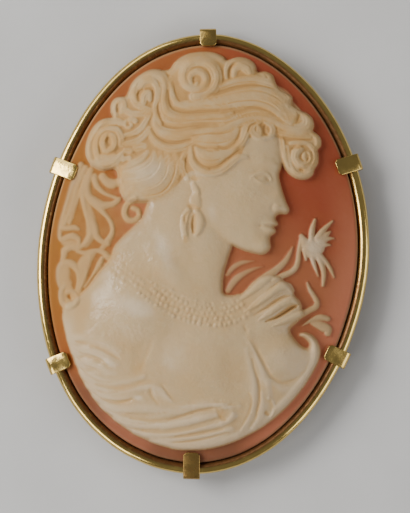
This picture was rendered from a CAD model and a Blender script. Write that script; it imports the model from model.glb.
"""Dresses the cameo brooch: the carved shell, its gold wire setting with six claws,
the pin and the stage."""
import math
from collections import namedtuple

import bmesh
import bpy
import numpy as np
from bpy.props import FloatProperty, FloatVectorProperty, IntProperty, PointerProperty
from mathutils import Matrix, Vector


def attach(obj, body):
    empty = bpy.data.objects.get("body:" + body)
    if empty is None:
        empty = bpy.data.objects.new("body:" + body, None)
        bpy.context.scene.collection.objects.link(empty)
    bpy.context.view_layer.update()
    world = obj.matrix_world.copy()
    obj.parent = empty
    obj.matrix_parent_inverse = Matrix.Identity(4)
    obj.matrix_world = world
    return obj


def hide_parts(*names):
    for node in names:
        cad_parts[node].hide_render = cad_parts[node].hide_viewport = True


bl_info = {
    "name": "Shell cameo brooch",
    "version": (1, 0, 0),
    "blender": (4, 5, 0),
    "location": "View3D > Sidebar > Cameo",
    "description": "Builds a carved oval shell cameo in a claw-set gold wire frame",
    "category": "Object",
}

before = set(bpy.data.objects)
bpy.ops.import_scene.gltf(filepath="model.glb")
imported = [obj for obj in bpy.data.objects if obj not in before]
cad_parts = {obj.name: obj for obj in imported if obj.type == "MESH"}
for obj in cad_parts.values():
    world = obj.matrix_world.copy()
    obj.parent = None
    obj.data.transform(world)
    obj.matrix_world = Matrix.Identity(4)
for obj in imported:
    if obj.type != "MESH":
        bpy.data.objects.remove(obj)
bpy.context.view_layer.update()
MM = 0.001


# Settings

def millimetres(name, what, default):
    """A size in millimetres."""
    return FloatProperty(name=name, description=what + ", in millimetres", default=default)


def tone(name, what, *shade):
    """A colour, by its red, green and blue."""
    return FloatVectorProperty(name=name, description=what, subtype="COLOR", size=4, default=(*shade, 1))


class ShellSettings(bpy.types.PropertyGroup):
    frame_width: millimetres("Frame width", "Width of the wire frame, outside to outside", 40.0)
    frame_height: millimetres("Frame height", "Height of the wire frame, outside to outside", 53.1)
    swell: FloatProperty(
        name="Swell", description="Share by which the hand-bent oval swells three times around",
        default=0.0097)
    inset: millimetres("Inset", "From the wire's outside to the shell's edge", 1.43)
    rim: millimetres("Rim", "Height of the shell's rim above the feet", 3.5)
    low: millimetres("Low", "Height of the shell's underside", 2.22)
    dome: millimetres("Dome", "Rise of the bare ground from the rim to the middle", 3.2)
    hollow: millimetres("Hollow", "Rise of the hollow back", 2.6)
    bevel: millimetres("Bevel", "Worn edge of the shell's rim", 0.22)
    turn: FloatProperty(
        name="Turn", description="Turn of the carving in its oval", default=math.radians(5),
        subtype="ANGLE")
    relief: FloatProperty(
        name="Relief", description="Height of the figure, as a share of the tables", default=0.8)
    across: IntProperty(name="Across", description="Cells of the surface across the shell", default=168)
    along: IntProperty(name="Along", description="Cells of the surface along the shell", default=228)
    fine_share: FloatProperty(
        name="Fine share", description="Share of the cells that are split for the finest carving",
        default=0.46)
    ground_deep: tone("Deep ground", "The ground layer at the upper right", 0.27, 0.062, 0.030)
    ground_rose: tone("Rose ground", "The ground layer in the lower half", 0.31, 0.108, 0.050)
    ground_brown: tone("Brown ground", "The ground layer at the bottom", 0.19, 0.075, 0.040)
    ground_orange: tone("Orange ground", "The ground layer at the left", 0.285, 0.090, 0.028)
    ground_pale: tone("Pale ground", "The ground layer along the left edge", 0.285, 0.114, 0.024)
    ground_pink: tone(
        "Pink ground", "The ground layer along the right edge and beside the nape", 0.41, 0.140, 0.074)
    cream: tone("Cream", "The carved upper layer", 0.40, 0.253, 0.125)
    white: tone("White", "The thickest places of the upper layer", 0.495, 0.355, 0.193)
    pale: tone("Pale", "Whitish patches and crests of the upper layer", 0.60, 0.475, 0.325)
    honey: tone("Honey", "Grooves of the hair and thin places", 0.475, 0.281, 0.106)
    ochre: tone("Ochre", "Deepest grooves of the hair", 0.35, 0.182, 0.060)


class SettingSettings(bpy.types.PropertyGroup):
    wire: millimetres("Wire", "Diameter of the round wire", 1.3)
    wire_height: millimetres("Wire height", "Height of the wire's middle above the feet", 2.9)
    claw_width: millimetres("Claw width", "Width of a claw", 2.0)
    claw_thickness: millimetres("Claw thickness", "Thickness of a claw", 0.45)
    claw_out: millimetres("Claw out", "How far a claw stands outside the wire", 0.6)
    claw_clip: millimetres("Claw clip", "Clipped corners of a claw", 0.32)
    gold: tone("Gold", "Polished yellow gold", 0.75, 0.53, 0.155)
    dirt: tone("Dirt", "Dark film in corners and on worn gold", 0.155, 0.070, 0.024)


class StageSettings(bpy.types.PropertyGroup):
    floor: tone("Floor", "Colour of the pale table", 0.56, 0.555, 0.545)
    elevation: FloatProperty(
        name="Elevation", description="Height of the camera's view over the table",
        default=math.radians(86), subtype="ANGLE")
    distance: FloatProperty(
        name="Distance", description="Distance of the camera", default=0.27, unit="LENGTH",
        subtype="DISTANCE")
    lens: millimetres("Lens", "Focal length of the camera", 157.3)


# The carving's tables, in millimetres, with x to the right and y up from the middle of the oval.
# A stroke's points are x, y and half its width, and turns are in degrees.

# The grid's step and borders
STEP = 0.08
LEFT, RIGHT, LOW, HIGH = -19.6, 19.6, -26.4, 26.4
# A third of the face, how far the head bows in degrees, and the place of the chin
THIRD = 5.1
BOW = 9.0
CHIN = (7.6, -0.2)


def rows(columns, *table):
    Row = namedtuple("Row", columns)
    return [Row(*values) for values in table]


def head(x, y):
    """A place on the head, in thirds of the face from the chin, as a place on the carving."""
    c, s = math.cos(math.radians(BOW)), math.sin(math.radians(BOW))
    return CHIN[0] + THIRD * (x * c + y * s), CHIN[1] + THIRD * (y * c - x * s)


# Outlines of the face, the hair, the bust with its drapery, and the veil
FACE = [head(*place) for place in (
    (-0.35, 3.1), (-0.12, 2.85), (0.0, 2.5), (0.05, 2.15), (0.02, 1.92), (0.11, 1.65), (0.27, 1.33),
    (0.38, 1.16), (0.345, 1.03), (0.14, 0.98), (0.09, 0.88), (0.165, 0.785), (0.155, 0.715), (0.085, 0.67),
    (0.14, 0.615), (0.13, 0.53), (0.035, 0.43), (0.06, 0.3), (0.085, 0.17), (0.0, 0.03), (-0.15, -0.02),
    (-0.6, 0.03), (-1.2, 0.25), (-1.75, 0.7), (-2.1, 1.3), (-2.3, 2.4), (-1.5, 3.3))]

HAIR = [
    (8.7, 14.2), (9.3, 13.5), (9.35, 12.3), (9.5, 11.0), (10.2, 9.8), (11.2, 9.05), (12.4, 8.95),
    (13.3, 9.5), (13.5, 10.2), (13.95, 11.0), (13.9, 12.0), (13.85, 12.5), (14.3, 13.0), (14.35, 13.8),
    (13.9, 14.5), (13.35, 14.9), (13.5, 15.8), (13.15, 16.7), (12.4, 17.1), (11.1, 17.8), (10.8, 18.4),
    (10.9, 19.0), (10.2, 19.4), (9.3, 20.0), (8.9, 20.8), (8.6, 21.8), (7.7, 22.2), (6.7, 22.1),
    (6.4, 23.2), (5.4, 23.9), (4.2, 23.9), (3.1, 23.5), (2.6, 24.0), (1.3, 24.6), (-0.3, 24.7),
    (-1.8, 24.4), (-3.1, 23.5), (-3.8, 22.5), (-4.6, 22.3), (-5.8, 22.4), (-7.2, 22.0), (-8.3, 21.0),
    (-8.8, 19.8), (-9.3, 19.1), (-10.3, 19.1), (-11.0, 18.5), (-11.0, 17.2), (-10.8, 16.5), (-12.2, 16.3),
    (-13.3, 15.4), (-13.9, 13.8), (-13.9, 12.0), (-13.3, 10.8), (-12.0, 10.1), (-10.4, 10.1), (-9.9, 8.6),
    (-9.7, 7.2), (-9.0, 6.3), (-7.0, 6.1), (-5.0, 6.3), (-3.7, 7.2), (-2.3, 8.6), (-1.2, 9.6), (0.3, 9.2),
    (2.0, 9.1), (3.4, 9.8), (4.6, 11.2), (5.2, 12.6), (5.8, 13.7), (7.2, 13.6)]

BUST = [
    (0.0, 9.6), (-2.0, 10.0), (-4.0, 8.5), (-6.2, 6.4), (-7.0, 4.4), (-8.3, 3.0), (-10.3, 1.0),
    (-10.9, -0.6), (-12.3, -2.3), (-13.6, -4.0), (-15.2, -5.3), (-16.3, -5.9), (-16.75, -7.3),
    (-16.5, -9.0), (-16.0, -11.0), (-15.2, -13.0), (-14.4, -15.0), (-13.5, -16.5), (-12.5, -18.0),
    (-10.8, -19.6), (-9.0, -21.0), (-7.0, -22.1), (-5.0, -22.9), (-3.0, -23.4), (-1.0, -23.5), (1.5, -23.2),
    (4.0, -22.4), (6.5, -21.2), (8.3, -20.0), (9.8, -18.7), (11.2, -17.2), (12.4, -15.6), (13.4, -13.9),
    (14.0, -12.7), (14.2, -11.6), (13.9, -10.6), (13.2, -9.8), (12.3, -9.4), (11.6, -9.6), (12.2, -10.0),
    (12.9, -10.7), (12.7, -11.3), (11.8, -11.0), (10.8, -9.9), (10.5, -9.0), (11.4, -8.2), (12.2, -7.4),
    (12.0, -6.7), (11.2, -5.2), (10.2, -3.6), (8.6, -2.6), (7.0, -2.9), (5.4, -4.3), (4.4, -4.9),
    (2.7, -4.9), (2.5, -3.5), (2.7, -2.0), (3.2, -0.5), (3.6, 2.0), (1.5, 8.0)]

VEIL = [
    (-14.9, 11.2), (-12.5, 10.4), (-9.9, 9.0), (-9.5, 6.5), (-6.3, 6.0), (-8.3, 2.8), (-10.3, 1.0),
    (-10.9, -1.0), (-13.5, -4.2), (-15.2, -6.6), (-16.8, -6.8), (-17.3, -5.4), (-17.0, -4.3), (-17.4, -2.5),
    (-17.0, -0.8), (-17.2, 0.5), (-17.3, 3.0), (-16.9, 5.0), (-15.9, 7.6), (-15.0, 9.2)]

# The raised forms: height of the steep edge, the rise over it, and how far in it rises
FORMS = rows(
    "outline edge rise reach",
    (VEIL, 0.06, 0.05, 1.5),
    (BUST, 0.45, 0.75, 5.5),
    (FACE, 0.6, 0.8, 3.4),
    (HAIR, 0.62, 0.5, 3.0))

# Soft swellings and hollows of the figure, on top of the forms
SWELLINGS = rows(
    "x y half_w half_h turn rise",
    (-7.4, -6.6, 5.0, 4.2, -38, 0.3),
    (-3.0, 1.6, 3.4, 3.6, 10, 0.2),
    (-8.6, -6.2, 7.0, 4.6, -38, 0.5),
    (-10.5, -10.5, 5.0, 5.0, 0, 0.18),
    (0.8, -12.2, 6.2, 5.2, 15, 0.34),
    (9.6, -12.2, 3.6, 3.6, 20, 0.42),
    (-4.2, -1.6, 1.7, 4.6, 42, 0.3),
    (0.6, 1.0, 2.4, 5.5, 8, 0.22),
    (8.6, -8.6, 3.2, 1.6, 25, 0.2),
    (-6.8, 9.3, 3.4, 3.2, 0, 0.35),
    (-11.3, 13.3, 3.0, 3.2, 0, 0.2),
    (-0.4, 21.3, 3.6, 3.6, 0, 0.3),
    (-6.3, 19.9, 2.8, 2.8, 0, 0.2),
    (3.6, -14.2, 2.0, 5.0, 10, -0.14),
    (-7.4, -12.2, 1.4, 3.4, -14, -0.14),
    (-1.2, -6.2, 7.0, 1.7, -24, 0.12))

# Where the figure's layer is tinted honey
BLOTCHES = rows(
    "x y half_w half_h turn rise",
    (-1.0, 5.0, 2.2, 4.6, 0, 0.45),
    (-2.0, 14.5, 4.2, 2.4, 0, 0.28),
    (-3.6, 11.6, 3.2, 1.8, 0, 0.25),
    (-12.8, -3.2, 1.6, 3.0, 42, 0.35),
    (2.45, -19.2, 0.7, 1.2, 0, 0.5),
    (-14.2, -6.6, 2.4, 4.2, 0, 0.75),
    (-8.3, -12.6, 2.6, 3.2, 0, 0.34),
    (1.8, -13.2, 4.6, 3.0, 10, 0.34),
    (-1.8, -15.4, 3.4, 2.0, -10, 0.25),
    (9.0, -10.9, 2.8, 1.8, 10, 0.4),
    (6.0, -18.6, 1.8, 2.6, 0, 0.3),
    (5.2, 5.5, 2.6, 3.6, 0, 0.16),
    (-5.4, 3.4, 1.8, 2.8, 20, 0.25),
    (0.6, -2.0, 2.0, 3.4, 0, 0.16),
    (-1.2, 16.9, 4.0, 0.9, 0, 0.55),
    (-3.2, 13.5, 3.2, 1.0, -4, 0.45),
    (6.6, 16.9, 2.6, 0.8, 0, 0.45),
    (3.4, 19.5, 4.6, 0.9, 16, 0.55),
    (-4.6, 17.4, 1.1, 2.6, -8, 0.5),
    (-0.2, 21.0, 2.3, 2.3, 0, 0.4),
    (0.4, 15.0, 2.4, 0.8, 0, 0.5),
    (-10.2, 12.8, 2.0, 1.8, 30, 0.45),
    (10.6, 14.0, 2.6, 0.6, 0, 0.5),
    (4.0, 13.2, 1.3, 1.6, -30, 0.4),
    (1.4, 10.6, 2.2, 0.9, 20, 0.4),
    (4.9, 22.4, 1.4, 1.2, 0, 0.35),
    (-11.9, 13.2, 2.6, 3.2, 0, 0.5),
    (-8.4, 13.6, 2.4, 2.2, 0, 0.35),
    (-9.0, 8.2, 1.6, 2.4, 0, 0.3),
    (-7.3, -13.9, 1.6, 1.6, 0, 0.5),
    (-1.4, 16.2, 5.0, 1.8, 0, 0.45),
    (-8.6, 5.2, 1.3, 2.2, -30, 0.6),
    (-9.2, -17.6, 2.4, 1.6, -30, 0.4))

# The face's planes, in thirds from the chin
FACE_FORMS = rows(
    "x y half_w half_h turn rise",
    (-0.26, 2.1, 0.42, 0.13, 4, 0.12),
    (-0.3, 1.79, 0.36, 0.2, -6, -0.32),
    (-0.34, 1.755, 0.2, 0.15, -4, 0.3),
    (0.07, 1.45, 0.13, 0.4, -26, 0.1),
    (0.1, 1.12, 0.13, 0.12, 0, 0.2),
    (-0.75, 1.4, 0.62, 0.42, 25, 0.17),
    (-0.62, 0.85, 0.6, 0.5, 0, 0.08),
    (-0.27, 0.64, 0.12, 0.12, 0, -0.12),
    (-0.06, 0.2, 0.3, 0.24, 0, 0.16),
    (0.05, 0.43, 0.2, 0.08, 0, -0.1))

# Lids, brow, nostril and lips, in thirds from the chin
FACE_STROKES = rows(
    "height points",
    (0.16, ((-0.14, 1.74, 0.1), (-0.22, 1.85, 0.14), (-0.36, 1.885, 0.16), (-0.52, 1.81, 0.14),
        (-0.62, 1.72, 0.08))),
    (0.1, ((-0.17, 1.7, 0.08), (-0.28, 1.645, 0.1), (-0.42, 1.655, 0.11), (-0.55, 1.73, 0.08))),
    (0.05, ((-0.02, 2.06, 0.15), (-0.22, 2.17, 0.22), (-0.5, 2.13, 0.2), (-0.72, 2.0, 0.1))),
    (0.11, ((0.14, 0.745, 0.14), (0.0, 0.74, 0.22), (-0.18, 0.68, 0.14))),
    (0.12, ((0.11, 0.585, 0.16), (0.0, 0.585, 0.24), (-0.16, 0.625, 0.14))),
    (-0.15, ((0.1, 0.672, 0.08), (-0.05, 0.672, 0.1), (-0.23, 0.65, 0.08))),
    (-0.1, ((0.16, 1.03, 0.09), (0.26, 1.05, 0.09))),
    (-0.06, ((0.0, 1.22, 0.12), (-0.04, 1.1, 0.14), (0.02, 1.0, 0.1))),
    (-0.05, ((-0.2, 1.745, 0.16), (-0.23, 1.76, 0.16))))

# Curls that wind in, with their turns, start and the shift of their eyes
CURLS = rows(
    "x y radius turns start height eye_x eye_y",
    (-0.42, 21.5, 3.4, 2.1, 262, 0.5, -0.4, -0.7),
    (7.9, 21.3, 1.05, 1.0, 210, 0.36, -0.2, 0.1),
    (12.15, 11.45, 1.7, 1.35, 115, 0.52, 0.5, 0.05),
    (-8.6, 15.5, 1.1, 1.2, 30, 0.34, -0.1, 0))

# Locks of the hair; lean makes one side higher than the other
HAIR_LOCKS = rows(
    "height lean points",
    (0.34, 0.0, ((9.2, 14.9, 0.2), (9.55, 13.8, 0.34), (9.75, 12.5, 0.36), (9.95, 11.3, 0.3),
        (10.4, 10.2, 0.15))),
    (0.5, 0.1, ((-3.2, 17.9, 0.35), (-1.5, 17.75, 0.7), (0.5, 17.95, 0.95), (2.5, 18.2, 1.2),
        (4.6, 18.65, 1.35), (6.7, 18.75, 1.45), (8.6, 18.15, 1.4), (9.9, 16.9, 1.1), (10.6, 15.8, 0.6))),
    (0.42, 0.2, ((0.3, 19.3, 0.3), (2.4, 20.1, 0.45), (4.2, 20.75, 0.55), (6.2, 21.0, 0.6),
        (7.9, 20.7, 0.55), (8.8, 20.3, 0.3))),
    (0.38, 0.0, ((-3.8, 21.3, 0.2), (-3.6, 19.9, 0.34), (-3.45, 18.8, 0.38), (-2.9, 18.0, 0.36),
        (-1.9, 17.7, 0.3))),
    (0.48, 0.0, ((-7.7, 18.2, 0.35), (-8.25, 19.2, 0.5), (-8.05, 20.5, 0.6), (-7.25, 21.4, 0.65),
        (-6.1, 21.85, 0.65), (-5.0, 21.5, 0.6), (-4.5, 20.6, 0.55), (-4.5, 19.4, 0.55), (-4.55, 18.2, 0.62),
        (-4.2, 17.0, 0.68), (-3.0, 16.35, 0.6), (-1.0, 16.25, 0.55), (1.2, 16.4, 0.6), (2.7, 16.5, 0.5),
        (3.6, 16.9, 0.3))),
    (0.4, 0.0, ((-7.4, 20.1, 0.3), (-6.9, 20.8, 0.4), (-6.0, 20.9, 0.42), (-5.45, 20.3, 0.4),
        (-5.3, 19.4, 0.38), (-5.45, 18.4, 0.36), (-5.6, 17.5, 0.35), (-5.4, 16.4, 0.35), (-4.9, 15.6, 0.3))),
    (0.48, 0.0, ((-7.0, 18.1, 0.35), (-6.9, 18.9, 0.5), (-6.4, 19.3, 0.45), (-6.2, 18.6, 0.35))),
    (0.34, 0.0, ((-8.3, 18.5, 0.3), (-7.6, 17.8, 0.42), (-6.7, 17.4, 0.42), (-5.9, 17.2, 0.3))),
    (0.36, 0.0, ((-4.7, 16.5, 0.3), (-3.9, 15.75, 0.45), (-2.4, 15.55, 0.5), (-0.5, 15.75, 0.5),
        (1.5, 15.8, 0.5), (3.0, 15.85, 0.5), (4.4, 16.5, 0.4), (6.0, 17.0, 0.45), (7.6, 17.0, 0.35))),
    (0.46, 0.15, ((-5.7, 16.4, 0.3), (-5.5, 15.3, 0.5), (-4.6, 14.45, 0.65), (-3.0, 14.15, 0.75),
        (-1.0, 14.45, 0.75), (0.8, 14.7, 0.65), (2.4, 14.8, 0.6), (3.7, 15.4, 0.6), (5.2, 16.0, 0.6),
        (6.9, 16.3, 0.55), (8.4, 16.0, 0.5), (9.6, 15.4, 0.35))),
    (0.38, 0.0, ((-6.3, 14.9, 0.3), (-5.8, 13.8, 0.42), (-4.8, 12.9, 0.5), (-3.4, 12.5, 0.55),
        (-2.0, 12.8, 0.5), (-0.9, 13.4, 0.35))),
    (0.42, 0.0, ((-0.9, 13.5, 0.5), (0.6, 13.5, 0.95), (2.2, 13.5, 1.0), (3.4, 13.9, 0.8),
        (4.2, 14.7, 0.45))),
    (0.5, 0.2, ((-0.7, 12.3, 0.45), (0.3, 11.5, 0.95), (1.5, 11.35, 1.0), (2.8, 11.85, 0.65),
        (3.9, 12.6, 0.52), (4.7, 13.6, 0.45), (5.0, 14.7, 0.4), (5.7, 15.6, 0.4), (6.7, 15.9, 0.3))),
    (0.5, -0.2, ((-1.3, 12.5, 0.3), (-1.15, 11.1, 0.45), (-0.4, 10.1, 0.52), (0.9, 9.55, 0.55),
        (2.2, 9.8, 0.55), (3.3, 10.6, 0.52), (4.3, 11.35, 0.42), (5.3, 11.45, 0.25))),
    (0.46, -0.1, ((2.6, 12.15, 0.3), (3.9, 12.5, 0.42), (4.8, 13.3, 0.48), (5.3, 14.4, 0.48),
        (5.75, 15.4, 0.42), (6.6, 15.9, 0.3))),
    (0.36, 0.0, ((2.95, 21.2, 0.25), (2.95, 22.3, 0.32), (3.5, 23.3, 0.36), (4.6, 23.7, 0.38),
        (5.7, 23.4, 0.4), (6.35, 22.6, 0.35))),
    (0.48, 0.0, ((3.85, 21.4, 0.3), (4.0, 22.3, 0.42), (4.6, 22.7, 0.5), (5.4, 22.5, 0.7),
        (5.8, 21.9, 0.55))),
    (0.36, 0.0, ((9.0, 20.2, 0.3), (9.8, 19.7, 0.5), (10.45, 19.0, 0.5), (10.7, 18.4, 0.3))),
    (0.32, 0.0, ((10.9, 18.3, 0.3), (11.4, 17.6, 0.42), (11.9, 17.1, 0.3))),
    (0.46, 0.0, ((8.6, 15.6, 0.35), (10.2, 15.15, 0.55), (11.7, 14.95, 0.7), (12.65, 15.3, 0.78),
        (12.85, 16.1, 0.65), (12.4, 16.9, 0.4))),
    (0.38, 0.0, ((13.2, 14.6, 0.3), (13.85, 14.1, 0.42), (14.0, 13.4, 0.4), (13.7, 12.8, 0.25))),
    (0.32, 0.0, ((8.9, 14.6, 0.3), (10.4, 14.25, 0.4), (11.9, 14.15, 0.45), (13.0, 14.1, 0.3))),
    (0.34, 0.0, ((10.9, 17.6, 0.3), (11.25, 16.7, 0.36), (11.0, 15.7, 0.3))),
    (0.28, 0.0, ((10.6, 13.25, 0.2), (11.3, 13.4, 0.32), (12.4, 13.35, 0.32), (13.1, 13.0, 0.25))),
    (0.4, 0.0, ((13.0, 13.1, 0.3), (13.6, 12.4, 0.38), (13.7, 11.5, 0.4), (13.45, 10.7, 0.36),
        (13.0, 10.3, 0.22))),
    (0.36, 0.0, ((10.9, 10.1, 0.3), (11.4, 9.45, 0.36), (12.3, 9.3, 0.38), (13.0, 9.7, 0.34),
        (13.3, 10.1, 0.2))),
    (0.2, 0.0, ((10.2, 12.8, 0.3), (10.3, 11.6, 0.42), (10.5, 10.6, 0.4), (10.9, 9.9, 0.25))),
    (0.4, 0.0, ((7.0, 15.75, 0.25), (6.2, 15.3, 0.38), (6.1, 14.5, 0.44), (6.7, 13.9, 0.42),
        (7.4, 13.65, 0.3))),
    (0.36, 0.0, ((6.75, 15.1, 0.3), (6.9, 14.6, 0.42), (6.95, 14.25, 0.3))),
    (0.42, 0.0, ((7.6, 15.7, 0.25), (8.3, 15.35, 0.36), (8.6, 14.7, 0.4), (8.3, 14.1, 0.36),
        (7.6, 13.8, 0.22))),
    (0.4, 0.0, ((-10.4, 16.7, 0.3), (-10.65, 17.6, 0.4), (-10.3, 18.5, 0.45), (-9.6, 18.6, 0.4),
        (-9.3, 17.9, 0.35), (-9.6, 17.2, 0.3))),
    (0.32, 0.0, ((-9.3, 17.4, 0.4), (-8.5, 16.9, 0.45), (-7.4, 16.8, 0.45), (-6.3, 16.7, 0.35))),
    (0.44, 0.0, ((-13.1, 10.9, 0.35), (-13.55, 12.3, 0.48), (-13.4, 13.9, 0.52), (-12.7, 15.1, 0.55),
        (-11.6, 15.8, 0.55), (-10.3, 15.95, 0.5), (-9.3, 15.6, 0.3))),
    (0.42, 0.0, ((-12.4, 11.4, 0.3), (-12.75, 12.6, 0.42), (-12.6, 13.8, 0.45), (-12.0, 14.8, 0.45),
        (-11.0, 15.1, 0.45), (-10.1, 14.8, 0.45), (-9.6, 13.9, 0.42), (-9.6, 13.0, 0.35))),
    (0.44, 0.0, ((-11.6, 12.4, 0.3), (-11.95, 13.4, 0.42), (-11.5, 14.3, 0.42), (-10.7, 14.2, 0.4),
        (-10.4, 13.5, 0.38), (-10.6, 12.7, 0.36), (-11.2, 12.3, 0.3))),
    (0.36, 0.0, ((-13.1, 11.3, 0.3), (-12.3, 10.7, 0.48), (-11.3, 10.6, 0.52), (-10.3, 11.1, 0.48),
        (-9.5, 12.0, 0.35))),
    (0.3, 0.0, ((-12.4, 11.7, 0.3), (-11.4, 11.5, 0.42), (-10.5, 11.8, 0.3))),
    (0.34, 0.0, ((-9.2, 14.2, 0.3), (-8.2, 14.4, 0.42), (-7.3, 15.0, 0.45), (-6.7, 15.9, 0.4),
        (-6.2, 16.9, 0.3))),
    (0.32, 0.0, ((-9.0, 13.2, 0.35), (-8.0, 13.4, 0.45), (-7.0, 14.0, 0.45), (-6.3, 15.0, 0.35))),
    (0.28, 0.0, ((-9.1, 12.3, 0.45), (-8.6, 12.3, 0.45))),
    (0.28, 0.0, ((-7.8, 12.6, 0.5), (-7.0, 12.8, 0.45))),
    (0.26, 0.0, ((-9.3, 11.3, 0.42), (-8.7, 11.4, 0.4))),
    (0.24, 0.1, ((-3.3, 12.0, 0.3), (-2.95, 10.7, 0.5), (-3.1, 9.3, 0.55), (-3.7, 8.0, 0.55),
        (-4.8, 7.0, 0.52), (-6.3, 6.6, 0.48), (-7.8, 6.55, 0.35))),
    (0.24, 0.1, ((-4.2, 12.0, 0.3), (-3.9, 10.7, 0.5), (-4.1, 9.4, 0.52), (-4.8, 8.3, 0.52),
        (-6.0, 7.6, 0.5), (-7.6, 7.3, 0.45), (-8.9, 7.1, 0.3))),
    (0.22, 0.1, ((-5.0, 12.0, 0.3), (-4.9, 10.6, 0.5), (-5.4, 9.5, 0.55), (-6.5, 8.7, 0.55),
        (-8.0, 8.3, 0.5), (-9.3, 8.3, 0.35))),
    (0.22, 0.1, ((-5.7, 12.0, 0.3), (-5.9, 10.9, 0.5), (-6.8, 10.0, 0.55), (-8.2, 9.5, 0.5),
        (-9.4, 9.3, 0.35))),
    (0.26, 0.1, ((-6.5, 12.1, 0.3), (-7.2, 11.3, 0.45), (-8.3, 10.7, 0.45), (-9.4, 10.3, 0.35))),
    (0.32, 0.0, ((-1.8, 12.2, 0.3), (-2.3, 11.0, 0.42), (-2.25, 9.8, 0.42), (-1.7, 8.8, 0.3))),
    (0.45, 0.0, ((-7.9, 6.5, 0.38), (-8.85, 5.9, 0.38), (-9.2, 4.9, 0.38), (-8.85, 4.1, 0.36),
        (-8.1, 3.9, 0.34), (-7.5, 4.4, 0.32), (-7.6, 5.1, 0.3), (-8.2, 5.4, 0.28))))

# Flat sheets of the veil
VEIL_SHEETS = rows(
    "height points",
    (0.15, ((-14.6, 10.4, 0.7), (-15.4, 8.2, 0.9), (-16.2, 6.2, 1.0), (-16.7, 4.4, 0.8), (-17.1, 2.9, 0.5))),
    (0.12, ((-15.0, 7.4, 0.5), (-15.8, 5.6, 0.6), (-16.5, 4.2, 0.6))),
    (0.17, ((-13.9, 6.4, 0.4), (-13.4, 4.6, 0.6), (-13.2, 3.3, 0.7), (-13.3, 2.2, 0.6), (-13.9, 1.2, 0.5))),
    (0.15, ((-16.9, 1.9, 0.4), (-16.2, 1.3, 0.5), (-15.3, 1.2, 0.5), (-14.6, 0.9, 0.4))),
    (0.22, ((-13.0, 0.0, 0.4), (-13.9, -0.9, 0.8), (-14.3, -2.1, 0.8), (-14.4, -3.2, 0.6),
        (-14.8, -4.4, 0.4))),
    (0.22, ((-16.4, -1.4, 0.6), (-16.7, -2.4, 0.8), (-16.5, -3.4, 0.8), (-16.0, -4.1, 0.6))),
    (0.2, ((-16.6, -4.7, 0.5), (-16.3, -5.6, 0.7), (-15.5, -5.8, 0.6), (-15.3, -4.8, 0.5))),
    (0.16, ((-11.0, 1.8, 0.4), (-11.6, 1.0, 0.35), (-12.2, 0.3, 0.3))))

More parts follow.
